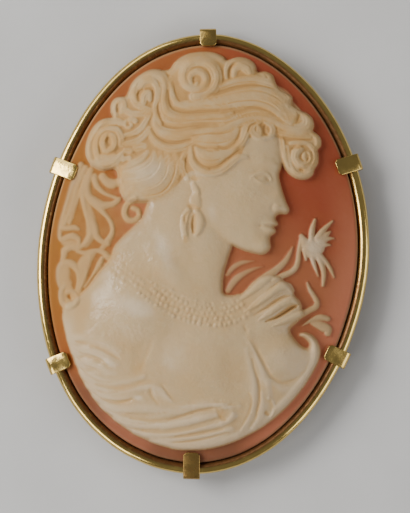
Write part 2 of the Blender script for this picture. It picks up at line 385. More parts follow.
# Folds and rolled edges of the veil
VEIL_RIDGES = rows(
    "height points",
    (0.3, ((-14.6, 10.8, 0.4), (-15.5, 8.8, 0.42), (-16.2, 6.6, 0.34), (-16.75, 4.8, 0.34),
        (-17.15, 3.6, 0.4), (-17.25, 2.5, 0.36), (-16.85, 1.8, 0.3), (-16.1, 2.05, 0.32),
        (-15.4, 2.15, 0.36), (-14.8, 1.8, 0.28))),
    (0.26, ((-14.0, 10.4, 0.36), (-14.9, 8.6, 0.36), (-15.4, 6.7, 0.26), (-15.9, 5.0, 0.3),
        (-16.6, 3.7, 0.36))),
    (0.24, ((-13.4, 10.1, 0.36), (-14.2, 8.5, 0.3), (-14.85, 6.9, 0.24), (-15.4, 5.2, 0.2),
        (-15.9, 3.8, 0.25))),
    (0.28, ((-17.1, 3.4, 0.34), (-16.2, 3.15, 0.3), (-15.3, 3.2, 0.28), (-14.8, 3.0, 0.18))),
    (0.26, ((-14.75, 1.9, 0.24), (-14.75, 1.3, 0.28), (-14.95, 0.8, 0.34), (-15.7, 0.85, 0.36),
        (-16.4, 0.45, 0.4), (-16.6, -0.3, 0.34), (-16.9, -1.1, 0.26))),
    (0.28, ((-13.9, 9.4, 0.3), (-14.3, 7.6, 0.34), (-14.15, 6.3, 0.32), (-13.9, 5.0, 0.24),
        (-13.55, 3.9, 0.28), (-13.35, 3.0, 0.3), (-13.35, 2.2, 0.34), (-13.8, 1.4, 0.34),
        (-14.4, 0.9, 0.24), (-15.0, 0.5, 0.18))),
    (0.3, ((-13.85, 5.2, 0.2), (-13.3, 4.3, 0.3), (-12.95, 3.5, 0.38), (-12.75, 2.7, 0.4),
        (-12.5, 2.0, 0.34), (-11.9, 1.45, 0.28), (-11.2, 1.2, 0.3))),
    (0.36, ((-13.5, 9.6, 0.42), (-13.8, 8.2, 0.4), (-13.6, 7.0, 0.4), (-12.9, 6.3, 0.48), (-12.1, 5.8, 0.5),
        (-11.2, 5.85, 0.34), (-10.5, 6.0, 0.3), (-9.9, 6.5, 0.28))),
    (0.3, ((-12.6, 5.9, 0.4), (-11.9, 5.1, 0.3), (-11.3, 4.4, 0.22), (-10.85, 3.7, 0.24),
        (-10.65, 2.9, 0.24), (-10.85, 2.1, 0.3), (-11.4, 1.5, 0.26))),
    (0.28, ((-12.9, 9.3, 0.36), (-12.6, 8.2, 0.3), (-11.7, 7.3, 0.22), (-10.8, 6.9, 0.18),
        (-10.1, 6.6, 0.2))),
    (0.3, ((-11.9, 9.3, 0.42), (-11.4, 8.7, 0.46), (-10.7, 8.4, 0.5), (-9.9, 8.6, 0.4))),
    (0.26, ((-14.9, 0.35, 0.2), (-14.0, 0.1, 0.26), (-13.1, 0.25, 0.3), (-12.4, 0.35, 0.26),
        (-11.7, 0.1, 0.3), (-11.2, -0.4, 0.36))),
    (0.26, ((-13.3, 0.0, 0.3), (-13.6, -1.0, 0.24), (-13.75, -2.0, 0.22), (-14.2, -3.2, 0.26),
        (-14.7, -4.5, 0.24))),
    (0.26, ((-11.9, -0.6, 0.26), (-12.2, -1.3, 0.32), (-12.7, -2.1, 0.22), (-13.3, -3.0, 0.14),
        (-14.0, -4.0, 0.12))),
    (0.3, ((-14.95, -4.4, 0.24), (-14.75, -3.4, 0.22), (-14.75, -2.4, 0.26), (-15.2, -1.5, 0.36),
        (-15.9, -1.1, 0.42), (-16.7, -1.2, 0.46), (-17.2, -1.9, 0.42), (-17.25, -2.9, 0.38),
        (-16.95, -3.8, 0.36))),
    (0.2, ((-16.2, -2.0, 0.4), (-16.35, -2.9, 0.5), (-15.9, -3.5, 0.36))),
    (0.34, ((-16.4, -3.7, 0.3), (-16.85, -4.4, 0.36), (-16.85, -5.2, 0.36), (-16.5, -5.9, 0.4),
        (-15.8, -6.2, 0.42), (-15.1, -5.8, 0.36), (-15.0, -5.0, 0.32), (-15.5, -4.5, 0.3),
        (-16.1, -4.5, 0.3))))

# Where the layer is whiter
PALE_PATCHES = rows(
    "x y half_w half_h turn rise",
    (-4.7, 0.8, 1.6, 4.8, 20, -0.6),
    (1.2, 4.9, 1.2, 2.0, 10, -0.4),
    (-8.0, -6.5, 4.2, 2.2, -14, -0.62),
    (-3.4, -12.4, 2.6, 3.8, -10, -0.36),
    (-11.2, -12.9, 1.7, 0.7, -25, -0.7),
    (-7.5, -17.2, 0.8, 0.5, 0, -0.7),
    (-4.6, -20.2, 2.8, 0.5, 10, -0.55),
    (-6.2, 9.6, 3.6, 2.6, 10, -0.4),
    (13.6, 0.6, 3.2, 4.0, 0, -0.5),
    (11.4, -3.6, 3.6, 3.6, 0, -0.4),
    (-0.5, -19.8, 3.6, 1.2, 0, -0.3))

# Where the hair is less tanned
PALE_HAIR = rows(
    "x y half_w half_h turn rise",
    (-6.0, 9.6, 4.2, 2.9, 10, -0.95),
    (11.6, 12.0, 3.2, 3.4, 0, -0.35),
    (-0.6, 18.2, 3.6, 1.6, 0, -0.2))

# The hand's fingers, and two fine strokes beside them
FINGERS = rows(
    "height points",
    (0.42, ((4.6, -5.6, 0.2), (6.2, -4.1, 0.62), (7.6, -2.95, 0.62), (8.9, -1.95, 0.5), (9.9, -1.0, 0.42),
        (10.5, 0.0, 0.32), (10.85, 0.8, 0.16))),
    (0.46, ((8.5, -3.15, 0.2), (9.6, -2.7, 0.4), (10.6, -2.25, 0.4), (11.25, -1.6, 0.38),
        (11.5, -0.8, 0.34), (11.6, 0.2, 0.32), (11.8, 1.3, 0.32), (11.95, 2.1, 0.3))),
    (0.46, ((5.0, -7.1, 0.1), (6.6, -6.0, 0.38), (8.0, -4.95, 0.46), (9.2, -4.15, 0.48), (10.2, -3.9, 0.48),
        (10.75, -4.4, 0.36))),
    (0.46, ((6.7, -8.05, 0.1), (8.0, -7.2, 0.34), (9.3, -6.25, 0.42), (10.5, -5.65, 0.46),
        (11.3, -5.75, 0.44), (11.7, -6.3, 0.3))),
    (0.44, ((8.4, -8.7, 0.1), (10.2, -8.0, 0.38), (11.6, -7.4, 0.44), (12.8, -6.8, 0.42),
        (13.65, -6.3, 0.42), (13.75, -5.7, 0.38), (13.3, -4.9, 0.34), (12.85, -4.2, 0.3),
        (12.6, -3.5, 0.2))),
    (0.26, ((3.0, -2.6, 0.3), (3.8, -1.7, 0.4), (4.8, -1.15, 0.36), (6.2, -0.95, 0.15))),
    (0.3, ((3.1, -4.5, 0.4), (4.0, -3.2, 0.5), (5.1, -2.4, 0.4), (6.3, -1.85, 0.28), (7.3, -1.6, 0.12))))

# The flower with its leaves and stem
FLOWER = rows(
    "height points",
    (0.72, ((11.9, 2.1, 0.34), (12.4, 1.2, 0.75), (13.2, 0.75, 1.05), (14.0, 0.7, 0.8), (14.5, 1.2, 0.4))),
    (0.64, ((12.4, 0.5, 0.5), (13.2, -0.1, 0.6), (13.9, -0.2, 0.45))),
    (0.64, ((13.1, 1.6, 0.4), (13.2, 2.9, 0.36), (13.55, 4.1, 0.2))),
    (0.64, ((13.8, 1.8, 0.5), (14.6, 2.9, 0.36), (15.7, 4.0, 0.16))),
    (0.62, ((14.0, 1.5, 0.6), (14.9, 2.3, 0.36), (15.4, 2.7, 0.18))),
    (0.62, ((14.0, 1.3, 0.6), (15.0, 1.8, 0.34), (15.8, 1.9, 0.16))),
    (0.62, ((13.9, 0.9, 0.5), (14.8, 1.1, 0.3), (15.4, 1.1, 0.15))),
    (0.58, ((12.3, 0.2, 0.3), (12.45, -0.75, 0.16))),
    (0.6, ((13.1, -0.2, 0.34), (13.5, -1.5, 0.24), (13.95, -2.7, 0.12))),
    (0.62, ((13.7, 0.0, 0.45), (14.3, -1.2, 0.38), (14.6, -2.4, 0.32), (14.5, -3.8, 0.2))),
    (0.6, ((14.0, -0.1, 0.4), (14.8, -0.9, 0.3), (15.4, -1.8, 0.26), (15.85, -2.8, 0.14))),
    (0.5, ((12.0, -8.6, 0.12), (13.2, -7.9, 0.3), (14.2, -7.6, 0.42), (15.1, -7.75, 0.36))),
    (0.56, ((13.2, -8.3, 0.3), (14.2, -8.6, 0.58), (15.0, -9.0, 0.64), (15.1, -9.4, 0.5))))

# Soft folds of the drapery
FOLDS = rows(
    "height points",
    (0.2, ((-1.5, -18.1, 0.4), (0.5, -17.8, 0.5), (2.5, -17.9, 0.5), (4.4, -18.2, 0.4))),
    (0.16, ((-4.6, -20.9, 0.4), (-2.0, -20.3, 0.5), (0.4, -19.7, 0.5), (3.0, -19.2, 0.3))),
    (0.16, ((-12.0, -13.4, 0.3), (-11.2, -13.0, 0.5), (-10.5, -13.3, 0.3))),
    (0.16, ((-8.2, -17.5, 0.3), (-7.5, -17.2, 0.5), (-6.8, -17.5, 0.3))),
    (0.16, ((-16.2, -10.2, 0.5), (-13.4, -10.0, 0.8), (-11.3, -10.7, 0.7), (-9.8, -11.7, 0.5))),
    (0.2, ((-15.4, -11.6, 0.5), (-13.2, -11.6, 0.7), (-11.5, -12.4, 0.7), (-10.2, -13.3, 0.5))),
    (0.2, ((-15.2, -13.0, 0.5), (-13.2, -13.2, 0.6), (-11.6, -13.9, 0.6), (-10.3, -14.2, 0.4))),
    (0.22, ((-14.8, -14.2, 0.5), (-12.8, -14.9, 0.7), (-10.6, -15.4, 0.6), (-8.6, -15.2, 0.6),
        (-7.0, -14.7, 0.5))),
    (0.24, ((-13.8, -15.8, 0.5), (-11.6, -16.4, 0.6), (-9.6, -16.6, 0.6), (-7.8, -16.1, 0.6),
        (-6.2, -15.9, 0.6), (-4.9, -16.4, 0.6), (-3.8, -17.3, 0.5), (-2.0, -18.0, 0.5))),
    (0.22, ((-13.0, -17.0, 0.4), (-11.0, -17.4, 0.5), (-9.3, -17.3, 0.5), (-8.0, -16.9, 0.4))),
    (0.26, ((-12.0, -18.4, 0.5), (-9.5, -18.5, 0.8), (-7.0, -18.3, 0.9), (-4.6, -18.8, 0.9),
        (-2.0, -18.6, 0.7), (0.6, -18.2, 0.6), (2.6, -18.3, 0.5))),
    (0.28, ((-10.4, -19.8, 0.5), (-8.0, -20.2, 0.6), (-5.0, -20.5, 0.6), (-2.0, -20.1, 0.6),
        (0.4, -19.4, 0.6), (1.9, -19.0, 0.5))),
    (0.26, ((-8.0, -21.4, 0.5), (-5.0, -21.6, 0.5), (-2.4, -21.3, 0.5), (0.4, -20.7, 0.5),
        (2.4, -20.2, 0.5), (3.8, -19.4, 0.5))),
    (0.24, ((-6.0, -22.4, 0.4), (-3.6, -22.4, 0.5), (-1.2, -22.1, 0.5), (1.4, -21.6, 0.5),
        (3.4, -20.9, 0.5))),
    (0.2, ((-3.6, -23.2, 0.4), (-1.0, -22.9, 0.5), (1.6, -22.5, 0.6), (4.2, -21.8, 0.6))),
    (0.24, ((5.3, -11.4, 0.4), (5.8, -13.6, 0.6), (6.2, -15.6, 0.6), (6.1, -17.6, 0.6), (5.6, -19.4, 0.6),
        (4.8, -21.0, 0.5))),
    (0.3, ((5.5, -9.6, 0.4), (6.1, -11.4, 0.5), (6.7, -13.0, 0.6), (7.3, -14.6, 0.6), (7.8, -15.9, 0.5),
        (7.9, -17.2, 0.4))),
    (0.22, ((8.0, -15.2, 0.5), (9.4, -16.1, 0.7), (10.8, -16.0, 0.6), (12.0, -14.9, 0.5))),
    (0.2, ((7.2, -16.6, 0.4), (7.2, -18.2, 0.5), (6.9, -19.6, 0.5), (6.2, -20.8, 0.4))),
    (0.24, ((8.1, -17.2, 0.25), (8.5, -18.0, 0.3), (8.7, -18.8, 0.3), (8.3, -19.4, 0.25))),
    (0.34, ((11.7, -9.75, 0.3), (12.5, -9.7, 0.42), (13.3, -10.3, 0.55), (13.65, -11.4, 0.6),
        (13.5, -12.8, 0.6), (12.8, -14.3, 0.6), (11.9, -15.6, 0.6), (10.8, -16.8, 0.6), (9.6, -18.0, 0.6),
        (8.6, -19.0, 0.4))),
    (0.2, ((1.6, -18.2, 0.3), (2.6, -18.2, 0.45), (3.6, -18.8, 0.5), (3.4, -19.8, 0.45), (2.4, -20.3, 0.4))))

# Deep cuts between locks, jewels, fingers and folds, with their honey tint
CUTS = rows(
    "depth tint points",
    (0.1, 0.6, ((-1.4, 8.9, 0.16), (-0.8, 8.8, 0.24), (-0.2, 8.8, 0.16))),
    (0.12, 0.9, ((-1.6, 5.6, 0.16), (-0.9, 5.35, 0.22), (-0.3, 5.3, 0.16))),
    (0.25, 1.1, ((-1.6, 4.8, 0.1), (-1.95, 4.2, 0.18), (-2.0, 3.4, 0.12))),
    (0.3, 1.3, ((-0.85, 4.4, 0.12), (-0.98, 3.5, 0.22), (-0.95, 2.7, 0.2), (-0.9, 2.0, 0.1))),
    (0.12, 0.9, ((-2.0, 1.8, 0.14), (-1.9, 1.3, 0.22))),
    (0.3, 1.0, ((-7.55, 18.5, 0.22), (-7.6, 19.2, 0.24), (-7.15, 19.75, 0.2))),
    (0.28, 0.8, ((-6.7, 19.85, 0.2), (-6.1, 19.85, 0.24), (-5.8, 19.4, 0.22), (-5.85, 18.3, 0.18))),
    (0.2, 1.0, ((-4.1, 19.6, 0.16), (-3.95, 18.4, 0.2), (-3.6, 17.6, 0.22), (-3.0, 17.15, 0.2),
        (-2.0, 16.85, 0.2), (0.0, 16.95, 0.24), (2.0, 17.1, 0.2))),
    (0.2, 0.9, ((-4.2, 21.9, 0.16), (-3.7, 21.0, 0.2), (-3.35, 20.0, 0.18), (-3.2, 19.3, 0.14))),
    (0.18, 1.0, ((-5.3, 17.8, 0.14), (-5.2, 17.0, 0.18), (-4.9, 16.1, 0.2), (-4.5, 15.5, 0.16))),
    (0.18, 1.0, ((-4.7, 15.6, 0.2), (-3.0, 15.0, 0.26), (-1.0, 15.15, 0.3), (0.7, 15.3, 0.28),
        (2.0, 15.3, 0.16))),
    (0.2, 0.9, ((-6.0, 14.9, 0.18), (-5.3, 13.9, 0.22), (-4.3, 13.3, 0.24), (-2.8, 13.2, 0.24),
        (-1.3, 13.6, 0.18))),
    (0.22, 1.0, ((0.0, 18.85, 0.2), (2.0, 19.2, 0.26), (3.6, 19.75, 0.3), (5.2, 20.15, 0.26),
        (6.8, 20.3, 0.2), (8.2, 20.0, 0.14))),
    (0.16, 0.9, ((2.3, 20.4, 0.16), (3.6, 21.0, 0.2), (5.0, 21.4, 0.2), (6.3, 21.5, 0.16))),
    (0.22, 1.0, ((3.3, 21.4, 0.2), (3.4, 22.3, 0.24), (4.0, 22.95, 0.2))),
    (0.14, 0.8, ((4.6, 16.9, 0.2), (6.2, 17.5, 0.26), (7.6, 17.3, 0.22), (8.8, 16.6, 0.15))),
    (0.24, 1.0, ((2.0, 12.65, 0.18), (2.9, 12.45, 0.22), (3.8, 12.9, 0.24), (4.4, 13.8, 0.22),
        (4.6, 14.7, 0.16))),
    (0.26, 1.0, ((0.9, 10.0, 0.18), (1.9, 10.15, 0.22), (2.8, 10.85, 0.24), (3.8, 11.7, 0.22),
        (4.6, 12.6, 0.16))),
    (0.2, 0.8, ((-1.0, 12.5, 0.16), (-0.7, 11.3, 0.2), (0.0, 10.4, 0.2), (1.0, 9.95, 0.18))),
    (0.24, 0.9, ((5.6, 14.6, 0.16), (5.8, 15.2, 0.2), (6.4, 15.6, 0.18))),
    (0.34, 0.9, ((7.55, 15.3, 0.18), (7.5, 14.5, 0.2), (7.9, 14.1, 0.16))),
    (0.4, 1.2, ((10.9, 12.6, 0.16), (11.5, 12.8, 0.22), (12.1, 12.85, 0.16))),
    (0.36, 1.0, ((12.55, 12.1, 0.16), (12.8, 11.6, 0.2), (12.65, 11.15, 0.16))),
    (0.24, 0.5, ((13.2, 12.2, 0.14), (13.25, 11.4, 0.18), (12.9, 10.8, 0.18), (12.4, 10.55, 0.14))),
    (0.3, 0.9, ((11.8, 10.05, 0.2), (12.05, 9.95, 0.2))),
    (0.22, 0.5, ((11.8, 16.9, 0.16), (11.4, 16.2, 0.28), (11.0, 15.55, 0.2))),
    (0.12, 0.4, ((9.0, 18.4, 0.14), (10.1, 17.3, 0.18), (10.6, 15.9, 0.14))),
    (0.12, 0.3, ((8.0, 18.6, 0.14), (9.4, 17.6, 0.18), (10.1, 16.2, 0.14))),
    (0.24, 0.9, ((8.9, 14.1, 0.14), (10.2, 13.8, 0.2), (12.0, 13.75, 0.2), (13.2, 13.8, 0.14))),
    (0.26, 0.8, ((7.6, 21.7, 0.18), (7.9, 21.4, 0.18))),
    (0.24, 0.8, ((-0.95, 21.2, 0.14), (-0.95, 20.4, 0.18))),
    (0.26, 0.7, ((-10.2, 18.2, 0.16), (-10.05, 17.2, 0.2))),
    (0.34, 1.0, ((-11.15, 14.3, 0.2), (-11.25, 13.6, 0.26), (-11.1, 13.1, 0.2))),
    (0.34, 0.8, ((-12.95, 11.4, 0.14), (-13.15, 12.5, 0.18), (-12.95, 13.9, 0.2), (-12.3, 14.9, 0.2),
        (-11.3, 15.45, 0.18), (-10.2, 15.45, 0.12))),
    (0.28, 0.7, ((-12.1, 12.1, 0.14), (-12.35, 13.2, 0.18), (-12.0, 14.2, 0.2), (-11.2, 14.7, 0.18),
        (-10.3, 14.5, 0.12))),
    (0.22, 1.0, ((-9.35, 13.6, 0.25), (-9.7, 12.7, 0.36), (-10.4, 12.1, 0.3), (-11.2, 11.9, 0.2))),
    (0.16, 0.8, ((-8.95, 16.2, 0.18), (-8.95, 15.4, 0.2))),
    (0.14, 0.6, ((-8.9, 14.0, 0.2), (-7.8, 14.0, 0.2))),
    (0.18, 0.9, ((-9.2, 11.9, 0.2), (-9.0, 11.8, 0.2))),
    (0.18, 0.9, ((-8.0, 12.1, 0.22), (-7.8, 11.9, 0.22))),
    (0.2, 0.8, ((-9.0, 11.0, 0.2), (-9.7, 10.2, 0.25), (-9.8, 9.2, 0.2))),
    (0.22, 0.8, ((-1.95, 11.2, 0.24), (-1.8, 11.0, 0.24))),
    (0.22, 0.9, ((-1.0, 8.95, 0.28), (-0.7, 8.8, 0.25))),
    (0.24, 0.8, ((-15.95, -5.1, 0.22), (-15.6, -5.5, 0.2))),
    (0.12, 0.2, ((-5.9, -10.2, 0.2), (-6.4, -11.8, 0.28), (-7.3, -13.8, 0.2))),
    (0.12, 0.6, ((-12.6, -15.5, 0.2), (-10.5, -15.95, 0.3), (-8.6, -15.85, 0.35), (-7.0, -15.4, 0.3),
        (-6.0, -15.3, 0.2))),
    (0.2, 0.6, ((-6.1, -16.2, 0.2), (-5.9, -17.0, 0.26), (-5.2, -17.9, 0.16))),
    (0.1, 0.2, ((-14.8, -10.5, 0.2), (-12.8, -10.7, 0.26), (-11.2, -11.5, 0.26), (-9.9, -12.5, 0.2))),
    (0.1, 0.3, ((-14.4, -12.3, 0.2), (-12.6, -12.6, 0.26), (-11.4, -13.3, 0.2))),
    (0.12, 0.3, ((-12.0, -17.3, 0.16), (-10.2, -17.8, 0.22), (-8.0, -17.4, 0.16))),
    (0.1, 0.3, ((-4.8, -15.6, 0.2), (-3.8, -16.8, 0.22), (-2.6, -17.6, 0.22), (-0.5, -17.9, 0.2),
        (1.8, -17.7, 0.2), (4.2, -18.1, 0.16))),
    (0.16, 0.5, ((-8.4, -19.6, 0.2), (-5.0, -19.95, 0.24), (-2.6, -19.45, 0.24), (-0.6, -18.8, 0.22),
        (1.2, -18.5, 0.16))),
    (0.12, 0.3, ((-7.0, -21.0, 0.16), (-3.6, -20.95, 0.2), (-1.4, -20.6, 0.2), (1.6, -19.8, 0.16))),
    (0.12, 0.3, ((-5.6, -21.95, 0.16), (-2.4, -21.75, 0.2), (0.2, -21.2, 0.2), (2.4, -20.9, 0.16))),
    (0.22, 0.6, ((1.9, -18.7, 0.2), (2.2, -19.4, 0.24), (2.8, -19.85, 0.2))),
    (0.26, 0.5, ((5.0, -8.6, 0.16), (5.6, -10.0, 0.22), (6.4, -11.3, 0.26), (7.0, -12.4, 0.28),
        (7.5, -13.4, 0.28), (8.0, -14.3, 0.26), (8.7, -15.0, 0.22), (9.6, -15.4, 0.2), (10.6, -15.2, 0.16),
        (11.3, -14.8, 0.12))),
    (0.26, 0.8, ((6.0, -12.6, 0.12), (6.3, -14.0, 0.16), (6.7, -15.2, 0.2), (6.85, -16.4, 0.22),
        (6.85, -17.6, 0.2), (6.6, -18.7, 0.16), (6.4, -19.6, 0.12))),
    (0.2, 0.6, ((5.6, -16.6, 0.14), (5.9, -17.5, 0.2), (5.7, -18.7, 0.22), (5.2, -19.8, 0.2),
        (4.5, -21.0, 0.14))),
    (0.2, 0.5, ((8.1, -17.1, 0.14), (8.35, -18.0, 0.18), (8.8, -18.7, 0.16), (8.6, -19.3, 0.12))),
    (0.34, 0.8, ((7.7, -19.0, 0.24), (7.85, -19.1, 0.22))),
    (0.24, 0.6, ((6.0, -6.3, 0.12), (7.2, -5.3, 0.2), (8.4, -4.2, 0.24), (9.3, -3.3, 0.14))),
    (0.5, 1.0, ((6.2, -7.4, 0.12), (7.4, -6.75, 0.2), (8.6, -5.9, 0.24), (9.7, -5.25, 0.2),
        (10.4, -5.1, 0.12))),
    (1.2, 1.4, ((7.6, -8.15, 0.12), (8.8, -7.7, 0.2), (9.8, -7.1, 0.25), (10.7, -6.5, 0.25),
        (11.4, -6.2, 0.14))),
    (0.2, 0.6, ((-2.0, 4.3, 0.22), (-2.0, 3.8, 0.22))),
    (0.24, 0.8, ((-1.0, 4.2, 0.16), (-1.05, 3.3, 0.2), (-1.0, 2.4, 0.16))),
    (0.2, 0.8, ((-1.9, 1.7, 0.24), (-1.9, 1.4, 0.24))),
    (0.14, 0.6, ((-1.3, 5.5, 0.22), (-0.9, 5.4, 0.22))))

# Fine creases of the drapery
CREASES = rows(
    "depth points",
    (0.13, ((-4.0, -19.9, 0.14), (-2.0, -19.3, 0.24), (0.0, -18.7, 0.24), (3.6, -18.0, 0.14))),
    (0.11, ((-3.2, -21.8, 0.14), (-0.4, -21.5, 0.22), (2.5, -20.9, 0.14))),
    (0.09, ((-4.0, -22.6, 0.14), (-0.4, -22.2, 0.2), (3.2, -21.3, 0.12))),
    (0.1, ((-15.2, -10.4, 0.12), (-13.6, -10.9, 0.2), (-12.2, -11.3, 0.22), (-11.0, -11.9, 0.24),
        (-9.8, -12.6, 0.14))),
    (0.1, ((-15.3, -11.3, 0.12), (-14.2, -11.9, 0.18), (-13.0, -12.3, 0.2), (-11.9, -12.8, 0.2),
        (-11.2, -13.4, 0.12))),
    (0.09, ((-14.9, -12.4, 0.12), (-13.9, -13.3, 0.18), (-12.7, -13.8, 0.2), (-11.2, -14.2, 0.12))),
    (0.09, ((-14.7, -13.4, 0.12), (-13.4, -14.6, 0.18), (-12.0, -15.2, 0.2), (-10.5, -15.3, 0.12))),
    (0.1, ((-14.3, -14.8, 0.12), (-13.0, -16.0, 0.18), (-11.6, -16.5, 0.2), (-10.0, -16.5, 0.12))),
    (0.12, ((-13.5, -16.1, 0.12), (-12.2, -17.1, 0.2), (-10.6, -17.6, 0.24), (-9.2, -17.6, 0.22),
        (-8.1, -17.3, 0.12))),
    (0.09, ((-12.6, -17.6, 0.12), (-11.0, -18.7, 0.18), (-9.0, -19.1, 0.2), (-6.5, -19.2, 0.2),
        (-4.0, -18.9, 0.12))),
    (0.09, ((-11.4, -18.9, 0.12), (-9.6, -19.9, 0.18), (-7.2, -20.3, 0.2), (-5.6, -20.2, 0.12))),
    (0.12, ((-9.6, -20.3, 0.12), (-8.0, -20.9, 0.2), (-5.5, -21.3, 0.24), (-3.0, -21.2, 0.24),
        (-0.5, -20.7, 0.2), (1.5, -20.1, 0.12))),
    (0.1, ((-7.6, -21.6, 0.12), (-5.2, -22.3, 0.2), (-2.5, -22.4, 0.22), (0.5, -22.0, 0.2),
        (3.0, -21.3, 0.12))),
    (0.1, ((-4.6, -15.8, 0.12), (-3.7, -17.1, 0.2), (-2.7, -17.9, 0.22), (-1.2, -18.2, 0.12))))

# The earring
JEWELS = rows(
    "height points",
    (0.36, ((-1.0, 8.2, 0.26), (-0.7, 7.5, 0.42), (-0.5, 7.0, 0.4))),
    (0.4, ((-0.7, 6.9, 0.5), (-0.75, 6.2, 0.72), (-0.6, 5.6, 0.6))),
    (0.36, ((-1.6, 5.0, 0.36), (-1.95, 4.3, 0.46), (-2.1, 3.4, 0.46), (-2.05, 2.6, 0.42),
        (-1.9, 1.5, 0.36))),
    (0.4, ((-0.7, 5.0, 0.3), (-0.3, 4.3, 0.52), (-0.15, 3.5, 0.6), (-0.35, 2.6, 0.48), (-0.7, 2.1, 0.3))))

# The necklace's line, and its strands of beads beside the line
NECKLACE = (
    (-11.3, 0.3), (-9.2, -1.9), (-6.8, -3.8), (-4.3, -5.6), (-1.5, -6.9), (1.2, -7.4), (3.4, -7.1),
    (5.3, -5.9))

STRANDS = rows(
    "offset bead height",
    (-1.2, 0.3, 0.22),
    (-0.55, 0.3, 0.2),
    (0.1, 0.3, 0.2),
    (0.75, 0.29, 0.17),
    (1.3, 0.26, 0.12))

# How the ridges are cut: shares of their tables' widths and heights, and how sharp the section is,
# where 0.5 is round
RIDGES = rows(
    "strokes width height sharp",
    (VEIL_SHEETS, 1.0, 1.0, 0.4),
    (VEIL_RIDGES, 1.3, 1.0, 0.8),
    (FINGERS, 1.0, 0.85, 0.55),
    (FLOWER, 1.0, 0.85, 0.5),
    (JEWELS, 1.0, 0.85, 0.8))

# Millimetres for 1 of a face stroke's width, and the share of its table's height
FACE_STROKE_WIDTH, FACE_STROKE_HEIGHT = 2.4, 1.7
# Shares of the tables' widths, heights and depths at which the other strokes are cut
FOLD_WIDTH, FOLD_HEIGHT = 1.28, 0.70
LOCK_WIDTH, LOCK_HEIGHT, CURL_HEIGHT, LOCK_SHARP = 1.12, 0.82, 0.87, 0.6
CUT_WIDTH, CUT_DEPTH, CUT_TINT_WIDTH, CUT_TINT = 1.35, 0.6, 1.9, 0.9
CREASE_WIDTH, CREASE_DEPTH, CREASE_TINT_WIDTH, CREASE_TINT = 1.2, 1.15, 1.6, 2

# The width of a strand in a lock, the depth of the groove beside it, and the share of it that is cut
STRAND = 0.36
GROOVE = 0.15
GROOVE_SHARE = 1.15
# No stroke is carved narrower than this half width
THINNEST = 0.05

# Width of a form's steep edge, and the width over which hair, face and veil begin at their outlines
STEEP = 0.28
HAIR_EDGE, FACE_EDGE, VEIL_EDGE = 0.3, 0.35, 0.3
# The figure begins at this height over the ground, and is full at twice it
FIGURE = 0.3
# How far the ground may lie raised beside the figure
GROUND_RISE = 0.02
# The honey tint under the necklace, and half its width
NECKLACE_TINT, NECKLACE_TINT_WIDTH = 0.42, 2.2
# Smoothing: of the figure's mask, the masses, the locks, the grooves in them, and the whole
MASK_BLUR, MASS_BLUR, LOCK_BLUR, GROOVE_BLUR, LAST_BLUR = 0.25, 0.14, 0.06, 0.035, 0.05

# A cavity is how much lower a place lies than what is round it, by shares and radii, up to a limit
CAVITIES = ((4, 1.0), (4, 0.4), (3, 0.18))
DEEPEST = 1.2


class Slab:
    """The carving as heights on an even grid, in millimetres: x to the right, y up."""

    def __init__(self):
        self.x = np.arange(LEFT, RIGHT + STEP / 2, STEP)
        self.y = np.arange(LOW, HIGH + STEP / 2, STEP)
        self.shape = (len(self.y), len(self.x))

    def window(self, x, y, margin):
        """The part of the grid that holds the places x, y with a margin, with its own x and y."""
        i0, i1 = np.searchsorted(self.x, (np.min(x) - margin, np.max(x) + margin))
        j0, j1 = np.searchsorted(self.y, (np.min(y) - margin, np.max(y) + margin))
        X, Y = np.meshgrid(self.x[i0:i1], self.y[j0:j1])
        return (slice(j0, j1), slice(i0, i1)), X, Y

    def sample(self, field, x, y):
        """The field's values at the places x, y."""
        u = np.clip((x - LEFT) / STEP, 0, self.shape[1] - 1.001)
        v = np.clip((y - LOW) / STEP, 0, self.shape[0] - 1.001)
        i, j = u.astype(int), v.astype(int)
        a, b = u - i, v - j
        low = field[j, i] * (1 - a) + field[j, i + 1] * a
        high = field[j + 1, i] * (1 - a) + field[j + 1, i + 1] * a
        return low * (1 - b) + high * b


def curve(points, closed, steps):
    """A smooth curve through the points; every column is smoothed."""
    p = np.array(points, float)
    n = len(p)
    out = []
    for k in range(n if closed else n - 1):
        near = [k - 1, k, k + 1, k + 2]
        near = [i % n for i in near] if closed else [min(max(i, 0), n - 1) for i in near]
        a, b, c, d = p[near]
        for t in np.arange(steps) / steps:
            out.append(0.5 * (2 * b + (c - a) * t + (2 * a - 5 * b + 4 * c - d) * t * t
                              + (3 * b - a - 3 * c + d) * t ** 3))
    return np.array(out if closed else out + [p[-1]])


def blur(field, radius):
    """The field smoothed by a bell curve that ends at 2.6 times its radius, in millimetres."""
    cells = radius / STEP
    n = max(1, int(2.6 * cells + 0.5))
    weights = np.exp(-0.5 * (np.arange(-n, n + 1) / cells) ** 2)
    weights /= weights.sum()
    for axis, size in enumerate(field.shape):
        padded = np.pad(field, [(n, n) if a == axis else (0, 0) for a in (0, 1)], mode="edge")
        parts = [np.take(padded, np.arange(i, i + size), axis) for i in range(len(weights))]
        field = sum(w * part for w, part in zip(weights, parts))
    return field


